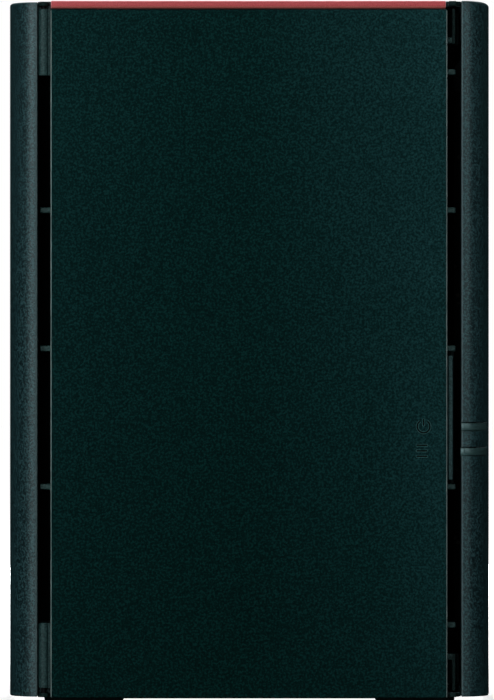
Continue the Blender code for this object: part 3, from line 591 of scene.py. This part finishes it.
def tongues(tag, z):
    tip = [(HINGE[0] + 0.95 * math.cos(math.radians(180 + 12 * i)), HINGE[1] + 0.95 * math.sin(math.radians(180 + 12 * i))) for i in range(16)]
    left = [(-38.3, -96.6), (-38.3, -100.9)] + tip[1:] + [(HINGE[0] + 0.95, -96.6)]
    return [paint(o, M["tongue"]) for o in (
        sheet(f"{tag}_tongue_l", "XY", [left, circle(HINGE, 0.6, 20)], (z[0], min(z[1], 126.82)), 0.08, 1),
        sheet(f"{tag}_tongue_r", "XY", [round_rect((36.1, 37.45), (-101.6, -96.6), 0.3, 3)], z, 0.08, 1),
        block(f"{tag}_filler", (37.3, 38.3), (-99.4, -96.5), (z[0] + 0.06, z[1] - 0.02), 0.08, 1))]


def plate_body(obj):
    """A cover plate: body finish, with the thinned corner behind its tongue near-black as painted shade."""
    paint(obj, M["body"])
    obj.data.materials.append(M["bezel"])
    for poly in obj.data.polygons:
        c = poly.center
        if 0.0354 < c.x < 0.0385 and -0.1006 < c.y < -0.0928 and (0.0017 < c.z < 0.0031 or 0.1249 < c.z < 0.1262):
            poly.material_index = 1
    return obj


def inner_ribs(tag, lip_z, boss_z):
    out = []
    for s in (-1, 1):
        out.append(block(f"{tag}_lip", sorted((s * 39.4, s * 40.9)), (-91.0, 97.0), lip_z, 0.15, 1))
        boss = block(f"{tag}_boss", sorted((s * 32.0, s * 38.9)), (92.0, 99.4), boss_z, 0.25, 2)
        out.append(cut(boss, rod("drill", "Y", (s * 35.5, 8.0 if boss_z[0] < 50 else 120.0), 1.65, (93.0, 105.0), 20)))
    return out


top = cut(sheet("top", "XY", [plan_outline()], (125.0, 127.0), 0.22, 2), block("notch", (35.55, 38.4), (-100.5, -92.9), (124.5, 126.05), 0))
top = merge("top_plate", plate_body(top), *tongues("top", (126.1, 126.98)),
            *[paint(o, M["body"]) for o in inner_ribs("top", (120.0, 125.6), (115.5, 125.6))])
piece(top, None, "enclosure", "top_cover")

vents = []
for row_y in (-38.0, 12.0):
    for k in range(7):
        x, half = -24.0 + 8.0 * k, 17.0 - 0.11 * k
        vents.append([(x + 1.5 * math.cos(a), row_y - half + 1.5 * math.sin(a) - 0.003 * k) for a in (math.pi + math.pi * i / 8 for i in range(9))]
                     + [(x + 1.5 * math.cos(a), row_y + half + 1.5 * math.sin(a) + 0.003 * k) for a in (math.pi * i / 8 for i in range(9))])
base = sheet("base", "XY", [plan_outline(), *vents], (1.0, 3.0), 0.2, 1)
cut(base, block("notch", (35.55, 38.4), (-100.5, -92.9), (1.8, 3.5), 0), *[sheet("pocket", "XY", [round_rect((x - 7.5, x + 7.5), (y - 4.8, y + 4.8), 2.8)], (0.0, 1.8)) for x, y in FEET.values()])
posts = [block("cage_post", (x - 4.0, x + 4.0), (y - 5.0, y + 5.0), (2.2, 8.9), 0.3, 2) for x, y in ((-27.0, -78.0), (27.0, -78.0), (-27.0, 48.0), (27.0, 48.0))]
base = merge("base_plate", plate_body(base), *tongues("base", (1.02, 1.75)),
             *[paint(o, M["body"]) for o in (*inner_ribs("base", (2.4, 8.0), (2.4, 11.5)), *posts)])
piece(base, None, "enclosure", "base_tray")

for tag, (x, y) in FEET.items():
    pad = sheet(f"pad_{tag}", "XY", [round_rect((x - 7.2, x + 7.2), (y - 4.5, y + 4.5), 2.5, 8)], (0.0, 1.5), 0.3, 3)
    # a shallow tread keeps the pad from being a plain slab
    grooves = [block("groove", (x - 9, x + 9), (y + d - 0.25, y + d + 0.25), (-0.2, 0.14), 0) for d in (-2.4, 0.0, 2.4)]
    piece(cut(pad, *grooves), M["rubber"], "enclosure", f"foot_{tag}")


# ------------------------------------------------------------------ front bezel
def comb(reach):
    d, w = 0.06, 38.0
    pts = [(w, 3.3), (w, 8.8), (33.0, 9.2)]
    for r in RIBS:
        pts += [(33.0, r - 0.575 - d), (reach, r - 0.575), (reach, r + 0.575), (33.0, r + 0.575 + d)]
    return pts + [(33.0, 118.8), (w, 119.2), (w, 124.7)]


outline = comb(37.2) + [(-u, v) for u, v in reversed(comb(38.0))]
# the bezel plate, deep in the gaps, is near-black as painted shade; the comb tips and rims at the front of the gaps are
# paler as painted highlight
bezel = [paint(sheet("bezel_plate", "XZ", [outline, round_rect((-31.6, 31.6), (9.5, 118.5), 0.8, 4)], (-96.0, -93.0), 0.16, 2), M["bezel"]),
         paint(block("keeper", (36.35, 37.1), (-95.6, -94.2), (39.06, 64.1), 0.12), M["inner"]),
         *[paint(o, M["post"]) for o in (
             block("rim", (36.75, 37.35), (-98.4, -94.5), (119.3, 125.75), 0.12), block("rim", (36.75, 37.35), (-98.4, -94.5), (2.1, 8.7), 0.12))]]
bezel += [paint(o, M["rib"]) for o in (
    block("rim", (35.2, 37.0), (-98.2, -94.6), (119.4, 120.5), 0.2), block("rim", (35.2, 37.0), (-98.2, -94.6), (7.65, 8.8), 0.2),
    *[block("tip", (35.6, 37.38), (-99.2, -94.4), (r - 0.52, r + 0.52), 0.2, 3) for r in RIBS],
    *[block("tip", (-37.93, -35.4), (-99.2, -94.4), (r - 0.52, r + 0.52), 0.2, 3) for r in RIBS[1:4]])]
# slanted near-black slats behind the comb of the hinge side let air in and keep light out: dark sheets placed in the
# gap's shade
for k in range(6):
    slat = block("slat", (-0.16, 0.16), (-0.80, 0.80), (9.0, 119.0), 0.08, 1)
    slat.data.transform(Matrix.Translation(Vector((-37.45 + 0.86 * k, -93.85, 0.0)) * 0.001) @ Matrix.Rotation(math.radians(52), 4, "Z"))
    bezel.append(paint(slat, M["screen"]))
# a near-black seal closes what is left between the first slat and the pillar, another dark sheet in the shade
bezel.append(paint(block("seal", (-38.33, -37.6), (-93.7, -92.7), (3.6, 124.4), 0.06, 1), M["screen"]))
piece(merge("bezel", *bezel), None, "enclosure", "front_bezel")

# ------------------------------------------------------------------ door
panel = block("door_panel", (-DOOR_X - 0.075, DOOR_X - 0.09), DOOR_Y, (DOOR_Z[0] - 0.13, DOOR_Z[1]), 0.34, 4)
# small engraved marks beside the two light bands: an open ring with a bar, and a stacked drum;
# each line is a deep groove with a shallow step either side: the steps paler as painted highlight, the groove floor
# near-black as painted shade
gx, drum = 31.5, 31.2
lines = [("ring", 50.0), ("bar", 50.75), *[("line", z) for z in (44.6, 45.6, 46.6)]]
for half, depth in ((0.25, -102.44), (0.155, -102.10)):
    marks = []
    for kind, z in lines:
        if kind == "ring":
            loop = sector((gx, z), 1.14 - half, 1.14 + half, math.radians(126 - 8 * half), math.radians(414 + 8 * half), 40)
        elif kind == "bar":
            loop = round_rect((gx - half, gx + half), (z - 0.48 - half, z + 0.48 + half), half * 0.8, 3)
        else:
            loop = round_rect((drum - 0.86 - half, drum + 0.86 + half), (z - half, z + half), half * 0.8, 3)
        marks.append(sheet("mark", "XZ", [loop], (-103.0, depth)))
    cut(panel, *marks)
paint(panel, M["door"])
panel.data.materials.append(M["edge"])
panel.data.materials.append(M["mark"])
panel.data.materials.append(M["bezel"])
# the side-facing bevel facets of the long edges take the paler material as a painted highlight
for poly in panel.data.polygons:
    if abs(poly.normal.x) > 0.3 and poly.normal.y < -0.1 and abs(poly.normal.z) < 0.3 and abs(poly.center.x) > 0.0352:
        poly.material_index = 1
    # the marks' shallow steps take the painted highlight, their deep floors the near-black painted shade
    elif abs(poly.center.x - 0.0314) < 0.003 and 0.043 < poly.center.z < 0.053 and poly.normal.y < -0.9:
        if -0.10246 < poly.center.y < -0.10242:
            poly.material_index = 2
        elif -0.10242 <= poly.center.y < -0.10205:
            poly.material_index = 3
piece(panel, None, "door", "front_door", 30)

strip_profile = [(-101.67 - 0.60 * math.cos(a), 126.16 - 0.60 * math.sin(a)) for a in (math.radians(12 * i) for i in range(7, -1, -1))]
strip_profile += [(-101.95 - 0.32 * math.cos(a), 126.68 + 0.30 * math.sin(a)) for a in (math.radians(15 * i) for i in range(0, 7))]
strip_profile += [(-99.85, 127.0), (-99.62, 126.85), (-99.62, 125.56)]
strip = paint(sheet("strip", "YZ", [strip_profile], (-DOOR_X + 0.0, DOOR_X - 0.38), 0.16, 3), M["red"])
strip.data.materials.append(M["red_edge"])
strip.data.materials.append(M["red_low"])
# the strip's end facets take the painted highlight, its downward faces the painted shade
for poly in strip.data.polygons:
    if abs(poly.normal.x) > 0.25 and poly.normal.y < -0.05:
        poly.material_index = 1
    elif poly.normal.z < -0.3:
        poly.material_index = 2
strip = merge("top_strip", strip, paint(block("strip_tab", (-28.0, 28.0), (-100.0, -99.66), (122.0, 126.2), 0.08, 1), M["red"]))
piece(strip, None, "door", "accent_strip")

# each knuckle is round about the hinge axis, with a set-back neck and an arm that reach in behind the panel
arc0, arc1 = math.radians(-32), math.atan2(0.3, -0.9) - 2 * math.pi
arm = [(-0.9, 1.5), (5.7, 1.5), (5.7, 0.92), (1.12, 0.92), (1.12, -0.50)]
arm += [(0.95 * math.cos(arc0 + (arc1 - arc0) * i / 22), 0.95 * math.sin(arc0 + (arc1 - arc0) * i / 22)) for i in range(23)]
arm = [(HINGE[0] + u, HINGE[1] + v) for u, v in arm]
liner = [sheet("liner_plate", "XZ", [round_rect((-33.0, 31.8), (4.0, 121.5), 1.5, 4)], (-100.05, -98.9), 0.15, 1)]
# stiffening frame and cross ribs on the inside of the door
ring = [round_rect((-33.0, 31.8), (4.0, 121.5), 1.5, 4), round_rect((-30.6, 29.4), (6.4, 119.1), 1.2, 4)]
liner.append(sheet("liner_ring", "XZ", ring, (-99.2, -98.2), 0.15, 2))
for z in (34.0, 63.0, 92.0):
    liner.append(block("liner_rib", (-31.2, 30.0), (-99.2, -98.35), (z - 0.6, z + 0.6), 0.15, 2))
for x in (-10.6, 9.4):
    liner.append(block("liner_rib", (x - 0.6, x + 0.6), (-99.2, -98.45), (5.6, 119.9), 0.15, 2))
for span in ((113.5, 125.5), (2.7, 14.4)):
    liner.append(sheet("knuckle", "XY", [arm, circle(HINGE, 0.6, 20)], span, 0.07, 1))
piece(merge("door_inner", *liner), M["inner"], "door", "door_liner")

for tag, span in (("top", (117.0, 126.85)), ("bottom", (1.15, 11.0))):
    piece(rod(f"pin_{tag}", "Z", HINGE, 0.5, span, 24, 0.12), M["oxide"], "enclosure", f"hinge_pin_{tag}")

# the bar's grip stands a little proud of its slide; the slide is darker as the painted shadow of the door's edge, the
# grip and hook paler as painted highlight
latch = paint(block("latch_slide", (33.3, 36.3), (-99.75, -99.0), (40.3, 62.8), 0.10, 2), M["tongue"])
grip = paint(block("latch_grip", (36.02, 36.82), (-99.95, -99.0), (40.3, 62.8), 0.14, 3), M["latch"])
hook = [(34.5, -99.4), (35.4, -99.4), (35.4, -93.9), (35.75, -93.72), (35.9, -93.5), (35.9, -93.1), (34.5, -93.1)]
latch = merge("latch", latch, grip, paint(sheet("latch_hook", "XY", [hook], (49.0, 54.0), 0.1, 1), M["latch"]))
piece(latch, None, "door_latch", "door_latch")

# ------------------------------------------------------------------ drive trays and their latches
for tag, s in (("left", -1), ("right", 1)):
    def X(a, b, s=s):
        return tuple(sorted((s * a, s * b)))
    holes = [round_rect(X(10.5, 20.5), (88.0, 105.7), 0.6, 3)]
    for k in range(8):
        z = 20.0 + 8.0 * k + 0.004 * k
        holes.append(round_rect(X(4.5, 26.5), (z, z + 3.2), 1.55, 6))
    front = sheet("tray_front", "XZ", [round_rect(X(0.5, 30.5), (10.5, 117.5), 1.2, 4), *holes], (-93.5, -90.5), 0.22, 2)
    wall = sheet("tray_wall", "YZ", [rect((-91.5, 50.0), (11.2, 116.6)), round_rect((-72.0, -22.0), (30.0, 98.0), 3.0), round_rect((-8.0, 42.1), (30.02, 98.02), 3.0)],
                 X(29.0, 30.45), 0.15, 1)
    floor_ = block("tray_floor", X(2.0, 29.6), (-91.4, 49.9), (11.25, 12.75), 0.2, 2)
    roof = block("tray_roof", X(2.0, 29.6), (-91.4, 49.9), (115.05, 116.55), 0.2, 2)
    frame_rim = sheet("latch_rim", "XZ", [round_rect(X(9.5, 21.5), (87.0, 106.7), 1.0, 4), round_rect(X(10.5, 20.5), (88.0, 105.7), 0.6, 3)], (-94.1, -93.2), 0.15, 2)
    piece(merge(f"tray_{tag}", front, wall, floor_, roof, frame_rim), M["inner"], "enclosure", f"drive_tray_{tag}")
    knob = [block("knob", X(10.8, 20.2), (-94.9, -91.0), (88.3, 102.3), 0.3, 3)]
    for k in range(5):
        z = 91.3 + 2.0 * k
        knob.append(block("ridge", X(11.6, 19.4), (-95.6, -94.6), (z - 0.45, z + 0.45), 0.3, 2))
    piece(merge(f"tray_tab_{tag}", *knob), M["button"], f"tray_latch_{tag}", f"tray_latch_{tag}")

# ------------------------------------------------------------------ rear panel, grille and fan
IO = {
    "lan": round_rect((24.3, 38.15), (63.7, 80.3), 0.5, 3),
    "usb": round_rect((30.6, 38.15), (43.7, 58.8), 0.5, 3),
    "dc": round_rect((26.6, 38.15), (23.7, 33.3), 0.5, 3),
    "slider": round_rect((33.6, 36.4), (86.6, 95.4), 0.5, 3),
    "button": circle((35.0, 106.0), 2.6, 36),
    "lock": round_rect((-3.6, 3.6), (18.0, 21.2), 1.0, 4),
}
loops = [rect((-39.7, 39.7), (3.3, 124.7)), circle(FAN_C, 29.6, 96), *IO.values()]
loops += [circle(c, 1.75, 24, 0.1) for c in REAR_SCREWS] + [circle(c, 2.1, 24, 0.07) for c in FAN_SCREWS]
back = sheet("back_panel", "XZ", loops, REAR_Y, 0.2, 2)
# bare recessed field below the fan
cut(back, sheet("recess", "XZ", [round_rect((-32.0, 20.0), (24.5, 39.5), 1.2, 4)], (101.45, 103.0)))
# a lip inside each edge laps behind the side cover or meets the plate, and keeps light from showing through the seam
laps = [block("lap", sorted((s * 39.45, s * 41.25)), (98.8, 99.9), (3.5, 124.5), 0.12, 1) for s in (-1, 1)]
laps += [block("lap", (-41.15, 41.15), (99.44, 99.92), z, 0.10, 1) for z in ((124.3, 124.97), (3.03, 3.7))]
piece(merge("back_panel_lapped", back, *laps), M["body"], "enclosure", "rear_panel")

grille = [circle(FAN_C, 29.2, 96)]
for r0, r1, n in ((7.4, 11.6, 10), (13.0, 17.0, 12), (18.4, 22.4, 14), (23.8, 27.4, 16)):
    for k in range(6):
        half = math.pi / 6 - 1.0 / ((r0 + r1) / 2)
        mid = math.pi / 6 + k * math.pi / 3
        grille.append(sector(FAN_C, r0, r1, mid - half, mid + half, n))
piece(sheet("guard", "XZ", grille, (99.9, 101.6), 0.3, 2), M["body"], "enclosure", "fan_grille")


def rotor():
    """Hub cap with seven swept, pitched blades."""
    hub = rod("hub", "Y", FAN_C, 12.5, (85.2, 96.2), 64, 0.8)
    bm = bmesh.new()
    nr, nc = 9, 9
    for k in range(7):
        grids = []
        for side in (-1, 1):
            rows = []
            for i in range(nr):
                r = 11.8 + (27.2 - 11.8) * i / (nr - 1)
                sweep = 0.30 * ((r - 11.8) / 15.4) ** 1.4
                row = []
                for j in range(nc):
                    c = j / (nc - 1) - 0.5
                    chord = 0.66 + 0.06 * math.sin(math.pi * i / (nr - 1))
                    a = 2 * math.pi * k / 7 + sweep + c * chord
                    y = 90.7 + c * 8.4 + 0.9 * math.cos(math.pi * c)
                    th = 0.55 * (1.0 - (2 * c) ** 4 * 0.7) * side
                    row.append(bm.verts.new(Vector((FAN_C[0] + r * math.sin(a), y + th, FAN_C[1] + r * math.cos(a))) * 0.001))
                rows.append(row)
            grids.append(rows)
        lo, hi = grids
        for i in range(nr - 1):
            for j in range(nc - 1):
                bm.faces.new((lo[i][j], lo[i][j + 1], lo[i + 1][j + 1], lo[i + 1][j]))
                bm.faces.new((hi[i][j], hi[i + 1][j], hi[i + 1][j + 1], hi[i][j + 1]))
        for i in range(nr - 1):
            for j in (0, nc - 1):
                bm.faces.new((lo[i][j], lo[i + 1][j], hi[i + 1][j], hi[i][j]))
        for j in range(nc - 1):
            for i in (0, nr - 1):
                bm.faces.new((lo[i][j], hi[i][j], hi[i][j + 1], lo[i][j + 1]))
    bmesh.ops.recalc_face_normals(bm, faces=bm.faces)
    return merge("impeller", hub, from_bm("blades", bm))


piece(rotor(), M["fan"], "fan_rotor", "fan_rotor", 40)


def screw(name, centre, r, shank_r, y0):
    """Pan-head screw with a cross recess, its head on the outside of the rear panel."""
    bm = bmesh.new()
    prof = [(0.0, 102.46), (r * 0.55, 102.44), (r * 0.82, 102.36), (r * 0.96, 102.20), (r, 102.02), (shank_r, 102.02), (shank_r, y0 + 0.8), (0.0, y0)]
    vs = [bm.verts.new((p[0] * 0.001, p[1] * 0.001, 0.0)) for p in prof]
    es = [bm.edges.new((vs[i], vs[i + 1])) for i in range(len(vs) - 1)]
    bmesh.ops.spin(bm, geom=vs + es, cent=(0, 0, 0), axis=(0, 1, 0), angle=2 * math.pi, steps=32, use_merge=True)
    bmesh.ops.remove_doubles(bm, verts=bm.verts, dist=2e-6)
    bmesh.ops.recalc_face_normals(bm, faces=bm.faces)
    bmesh.ops.translate(bm, verts=bm.verts, vec=(centre[0] * 0.001, 0.0, centre[1] * 0.001))
    o = from_bm(name, bm)
    a, b, d = r * 0.62, r * 0.15, 102.1
    return cut(o, block("cross", (centre[0] - a, centre[0] + a), (d, 103.0), (centre[1] - b, centre[1] + b), 0),
               block("cross", (centre[0] - b, centre[0] + b), (d, 103.0), (centre[1] - a, centre[1] + a), 0))


for i, c in enumerate(REAR_SCREWS):
    piece(screw(f"case_screw_{i + 1}", c, 2.8, 1.4, 94.5), M["screw"], "enclosure", f"rear_screw_{i + 1}", 30)
for i, c in enumerate(FAN_SCREWS):
    piece(screw(f"blower_screw_{i + 1}", c, 3.1, 1.75, 88.0), M["screw"], "enclosure", f"fan_screw_{i + 1}", 30)

# ------------------------------------------------------------------ sockets
jack = cut(block("jack", (24.6, 37.9), (79.8, 101.4), (64.0, 80.0), 0.25, 2),
           block("hole", (27.4, 34.8), (87.0, 103.0), (66.0, 78.0), 0), block("hole", (26.0, 28.0), (90.0, 103.0), (69.0, 75.0), 0))
paint(jack, M["nickel"])
bits = [jack]
for k in range(8):
    z = 67.9 + 1.16 * k
    bits.append(paint(block("contact", (33.2, 33.55), (88.0, 97.5), (z - 0.22, z + 0.22), 0.08, 1), M["gold"]))
liner_box = cut(block("jack_liner", (27.0, 35.2), (86.6, 101.0), (65.6, 78.4), 0), block("hole", (27.45, 34.75), (87.1, 103.0), (66.05, 77.95), 0))
bits.append(paint(liner_box, M["socket"]))


def collar(x, z, hole):
    """A thin seal round a socket, pressed against the inside of the rear panel."""
    return paint(sheet("collar", "XZ", [round_rect(x, z, 0.5, 3), hole], (98.75, 99.55), 0.1, 1), M["rubber"])


bits.append(collar((23.8, 38.9), (63.2, 80.8), rect((24.7, 37.8), (64.1, 79.9))))
piece(merge("network_jack", *bits), None, "enclosure", "lan_jack")

shell = cut(block("shell", (30.9, 37.9), (86.0, 101.4), (44.0, 58.5), 0.35, 3), block("hole", (31.5, 37.3), (89.0, 103.0), (44.6, 57.9), 0.3, 2))
paint(shell, M["nickel"])
tongue = paint(block("tongue", (34.6, 36.2), (88.0, 100.4), (45.9, 56.6), 0.2, 2), M["socket"])
bits = [shell, tongue]
for k in range(4):
    z = 47.75 + 2.33 * k
    bits.append(paint(block("contact", (34.42, 34.7), (90.0, 99.4), (z - 0.5, z + 0.5), 0.08, 1), M["gold"]))
bits.append(collar((30.1, 38.9), (43.2, 59.3), rect((31.0, 37.8), (44.1, 58.4))))
piece(merge("usb_socket", *bits), None, "enclosure", "usb_port")

barrel = cut(block("barrel", (26.9, 37.9), (87.0, 101.4), (24.0, 33.0), 0.35, 3), rod("hole", "Y", (31.4, 28.5), 3.1, (90.0, 103.0), 48))
paint(barrel, M["socket"])
ring_ = cut(rod("ring", "Y", (31.4, 28.5), 3.05, (91.0, 101.0), 48), rod("hole", "Y", (31.4, 28.5), 2.75, (90.0, 103.0), 48))
seal = collar((26.1, 38.9), (23.2, 33.8), rect((27.0, 37.8), (24.1, 32.9)))
piece(merge("power_inlet", barrel, paint(ring_, M["nickel"]), paint(rod("pin", "Y", (31.4, 28.5), 1.0, (88.0, 100.4), 24, 0.25), M["nickel"]), seal), None, "enclosure", "dc_jack")

knob = [block("knob", (33.9, 36.1), (98.8, 101.8), (86.9, 91.1), 0.2, 2)]
for k in range(3):
    z = 87.9 + 1.1 * k
    knob.append(block("ridge", (34.0, 36.0), (101.4, 102.2), (z - 0.3, z + 0.3), 0.2, 2))
piece(merge("slide_knob", *knob), M["button"], "power_slider", "power_slider")


def dome():
    bm = bmesh.new()
    prof = [(0.0, 102.2), (1.1, 102.14), (1.8, 101.9), (2.15, 101.5), (2.25, 101.0), (2.25, 98.9), (2.9, 98.9), (2.9, 97.9), (0.0, 97.9)]
    vs = [bm.verts.new((p[0] * 0.001, p[1] * 0.001, 0.0)) for p in prof]
    es = [bm.edges.new((vs[i], vs[i + 1])) for i in range(len(vs) - 1)]
    bmesh.ops.spin(bm, geom=vs + es, cent=(0, 0, 0), axis=(0, 1, 0), angle=2 * math.pi, steps=40, use_merge=True)
    bmesh.ops.remove_doubles(bm, verts=bm.verts, dist=2e-6)
    bmesh.ops.recalc_face_normals(bm, faces=bm.faces)
    bmesh.ops.translate(bm, verts=bm.verts, vec=(0.035, 0.0, 0.106))
    return from_bm("press_button", bm)


piece(dome(), M["button"], "function_button", "function_button", 30)

# ------------------------------------------------------------------ CAD nodes kept as they are, with better materials
KEEP = {
    "zinc": ["drive_cage", "bay_divider"],
    "alloy": ["hard_drive_left", "hard_drive_right"],
    "board": ["main_board", "sata_backplane", "led_board"],
    "socket": ["sata_connector_left", "sata_connector_right", "power_switch", "function_switch", "fan_header"],
    "fan": ["fan_frame"],
    "sink": ["cpu_heatsink"],
    "lead": ["fan_lead"],
    "oxide": ["board_standoff_1", "board_standoff_2", "board_standoff_3"],
    "screw": ["board_screw_1", "board_screw_2", "board_screw_3"],
}
for key, names in KEEP.items():
    for n in names:
        paint(NODES[n], M[key])

# ------------------------------------------------------------------ floor, lights, world, camera
bm = bmesh.new()
bmesh.ops.create_grid(bm, x_segments=1, y_segments=1, size=6.0)
floor = from_bm("floor", bm)
f = Net("floor_pale")
f.link(f.ramp(f.noise(60.0, 3.0, 0.5), [(0.3, (0.86, 0.86, 0.86)), (0.7, (0.90, 0.90, 0.90))]), "Base Color")
f.set(Roughness=0.8, Specular_IOR_Level=0.1, Emission_Color=(1.0, 1.0, 1.0, 1.0))
away = f.t.nodes.new("ShaderNodeVectorMath")
away.operation = "LENGTH"
f.t.links.new(f.co, away.inputs[0])
split = f.t.nodes.new("ShaderNodeSeparateXYZ")
f.t.links.new(f.co, split.inputs[0])
# the paper glows all round the object, with painted shadow: dimmer near it and dark beneath it
off_x = f.math("SUBTRACT", f.math("ABSOLUTE", split.outputs["X"], 0.0), 0.030)
off_y = f.math("SUBTRACT", f.math("ABSOLUTE", f.math("SUBTRACT", split.outputs["Y"], 0.015), 0.0), 0.080)
painted_shadow_mask = f.span(f.math("MAXIMUM", off_x, off_y), 0.0, 1.0, 0.0, 0.018)
# the strip of it that shows under the front edge glows brighter: painted light
painted_light_y = f.span(f.math("ABSOLUTE", f.math("ADD", split.outputs["Y"], 0.081), 0.0), 0.97, 0.0, 0.012, 0.018)
painted_light_x = f.span(f.math("ABSOLUTE", split.outputs["X"], 0.0), 1.0, 0.0, 0.0425, 0.0445)
glow_with_painted_shadow = f.math("MULTIPLY", painted_shadow_mask, f.span(away.outputs["Value"], 0.42, 0.98, 0.12, 0.62))
f.link(f.math("MAXIMUM", glow_with_painted_shadow, f.math("MULTIPLY", painted_light_x, painted_light_y)), "Emission Strength")
paint(floor, f.m)
floor.visible_diffuse = floor.visible_glossy = False

# a white backdrop for the camera, a dim room for everything else
world = bpy.data.worlds.new("studio")
SCENE.world = world
world.use_nodes = True
wt = world.node_tree
wt.nodes.clear()
out = wt.nodes.new("ShaderNodeOutputWorld")
room = wt.nodes.new("ShaderNodeBackground")
room.inputs["Color"].default_value = (0.95, 0.98, 1.0, 1.0)
room.inputs["Strength"].default_value = 0.02
paper = wt.nodes.new("ShaderNodeBackground")
paper.inputs["Color"].default_value = (1.0, 1.0, 1.0, 1.0)
paper.inputs["Strength"].default_value = 1.0
seen = wt.nodes.new("ShaderNodeLightPath")
pick = wt.nodes.new("ShaderNodeMixShader")
wt.links.new(seen.outputs["Is Camera Ray"], pick.inputs[0])
wt.links.new(room.outputs[0], pick.inputs[1])
wt.links.new(paper.outputs[0], pick.inputs[2])
wt.links.new(pick.outputs[0], out.inputs[0])


def softbox(name, place, target, size, level, spread=180.0, colour=(1.0, 1.0, 1.0)):
    """A rectangular softbox; level is what a white card facing it at the target would show."""
    data = bpy.data.lights.new(name, "AREA")
    data.shape = "RECTANGLE"
    data.size, data.size_y = size
    aim = Vector(target) - Vector(place)
    data.energy = level * math.pi ** 2 * aim.length_squared
    data.spread = math.radians(spread)
    data.color = colour
    lamp = link(bpy.data.objects.new(name, data))
    lamp.location = place
    lamp.rotation_euler = aim.to_track_quat("-Z", "Y").to_euler()
    lamp.visible_camera = False
    return lamp


FRONT = (0.0, -0.10, 0.064)
CENTRE = (0.0, 0.0, 0.064)
softbox("front", (-0.30, -1.90, 0.30), FRONT, (0.6, 0.5), 0.16)
softbox("far_left", (-0.80, -1.30, 0.45), FRONT, (0.6, 0.9), 0.30)
softbox("far_right", (0.80, -1.30, 0.40), FRONT, (0.6, 0.9), 0.09)
softbox("near_left", (-0.19, -0.26, 0.18), FRONT, (0.08, 0.26), 0.20)
softbox("near_right", (0.15, -0.25, 0.16), FRONT, (0.08, 0.26), 0.15)
softbox("front_top", (0.0, -0.24, 0.31), FRONT, (0.30, 0.06), 0.14)
softbox("pool", (0.0, 0.30, 1.10), (0.0, 0.10, 0.0), (0.45, 0.55), 0.72)
softbox("side_left", (-0.55, 0.10, 0.75), CENTRE, (0.5, 0.5), 0.10)
softbox("side_right", (0.55, 0.10, 0.75), CENTRE, (0.5, 0.5), 0.10)
# the rear lights stay inside the object's own width, and the lower one below its top, so that they don't rim its edges
softbox("back", (0.0, 0.80, 0.95), CENTRE, (0.08, 0.5), 0.26)
softbox("back_low", (0.0, 1.00, 0.064), CENTRE, (0.08, 0.11), 0.52)
# tall strip boxes wash the long sides; a card beside each keeps them off the front pillars
for side in (-1, 1):
    wash = softbox(f"wash_{'left' if side < 0 else 'right'}", (0.95 * side, 0.02, 0.30), (0.0435 * side, 0.02, 0.070), (0.06, 0.50), 0.95)
    wash.visible_glossy = False

# black cards beside the object: near ones keep the white surroundings out of its glancing reflections,
# far ones shade the front pillars from the strip boxes
k = Net("flag_felt")
k.link(k.ramp(k.noise(3.0, 2.0, 0.5), [(0.3, (0.004, 0.004, 0.004)), (0.7, (0.008, 0.008, 0.008))]), "Base Color")
k.set(Roughness=1.0, Specular_IOR_Level=0.0)
for side, tag in ((-1, "left"), (1, "right")):
    for name, x, (y0, y1), (z0, z1) in ((f"flag_{tag}", 0.11, (-0.14, 1.30), (-0.25, 0.45)), (f"gobo_{tag}", 0.35, (-0.35, -0.040), (0.0, 0.60))):
        bm = bmesh.new()
        bm.faces.new([bm.verts.new((x * side, y, z)) for y, z in ((y0, z0), (y1, z0), (y1, z1), (y0, z1))])
        card = paint(from_bm(name, bm), k.m)
        card.visible_camera = card.visible_diffuse = card.visible_transmission = False
        card.visible_shadow, card.visible_glossy = name.startswith("gobo"), name.startswith("flag")

DIST = 1.7
cam = bpy.data.cameras.new("camera")
cam.sensor_fit = "AUTO"
cam.sensor_width = 36.0
cam.lens = 36.0 * DIST * 1000.0 / 126.56
cam.clip_start, cam.clip_end = 0.05, 100.0
camera = link(bpy.data.objects.new("camera", cam))
camera.location = (-0.000434, -0.1025 - DIST, 0.06383)
camera.rotation_euler = (math.pi / 2, 0.0, 0.0)
SCENE.camera = camera

bpy.context.view_layer.update()
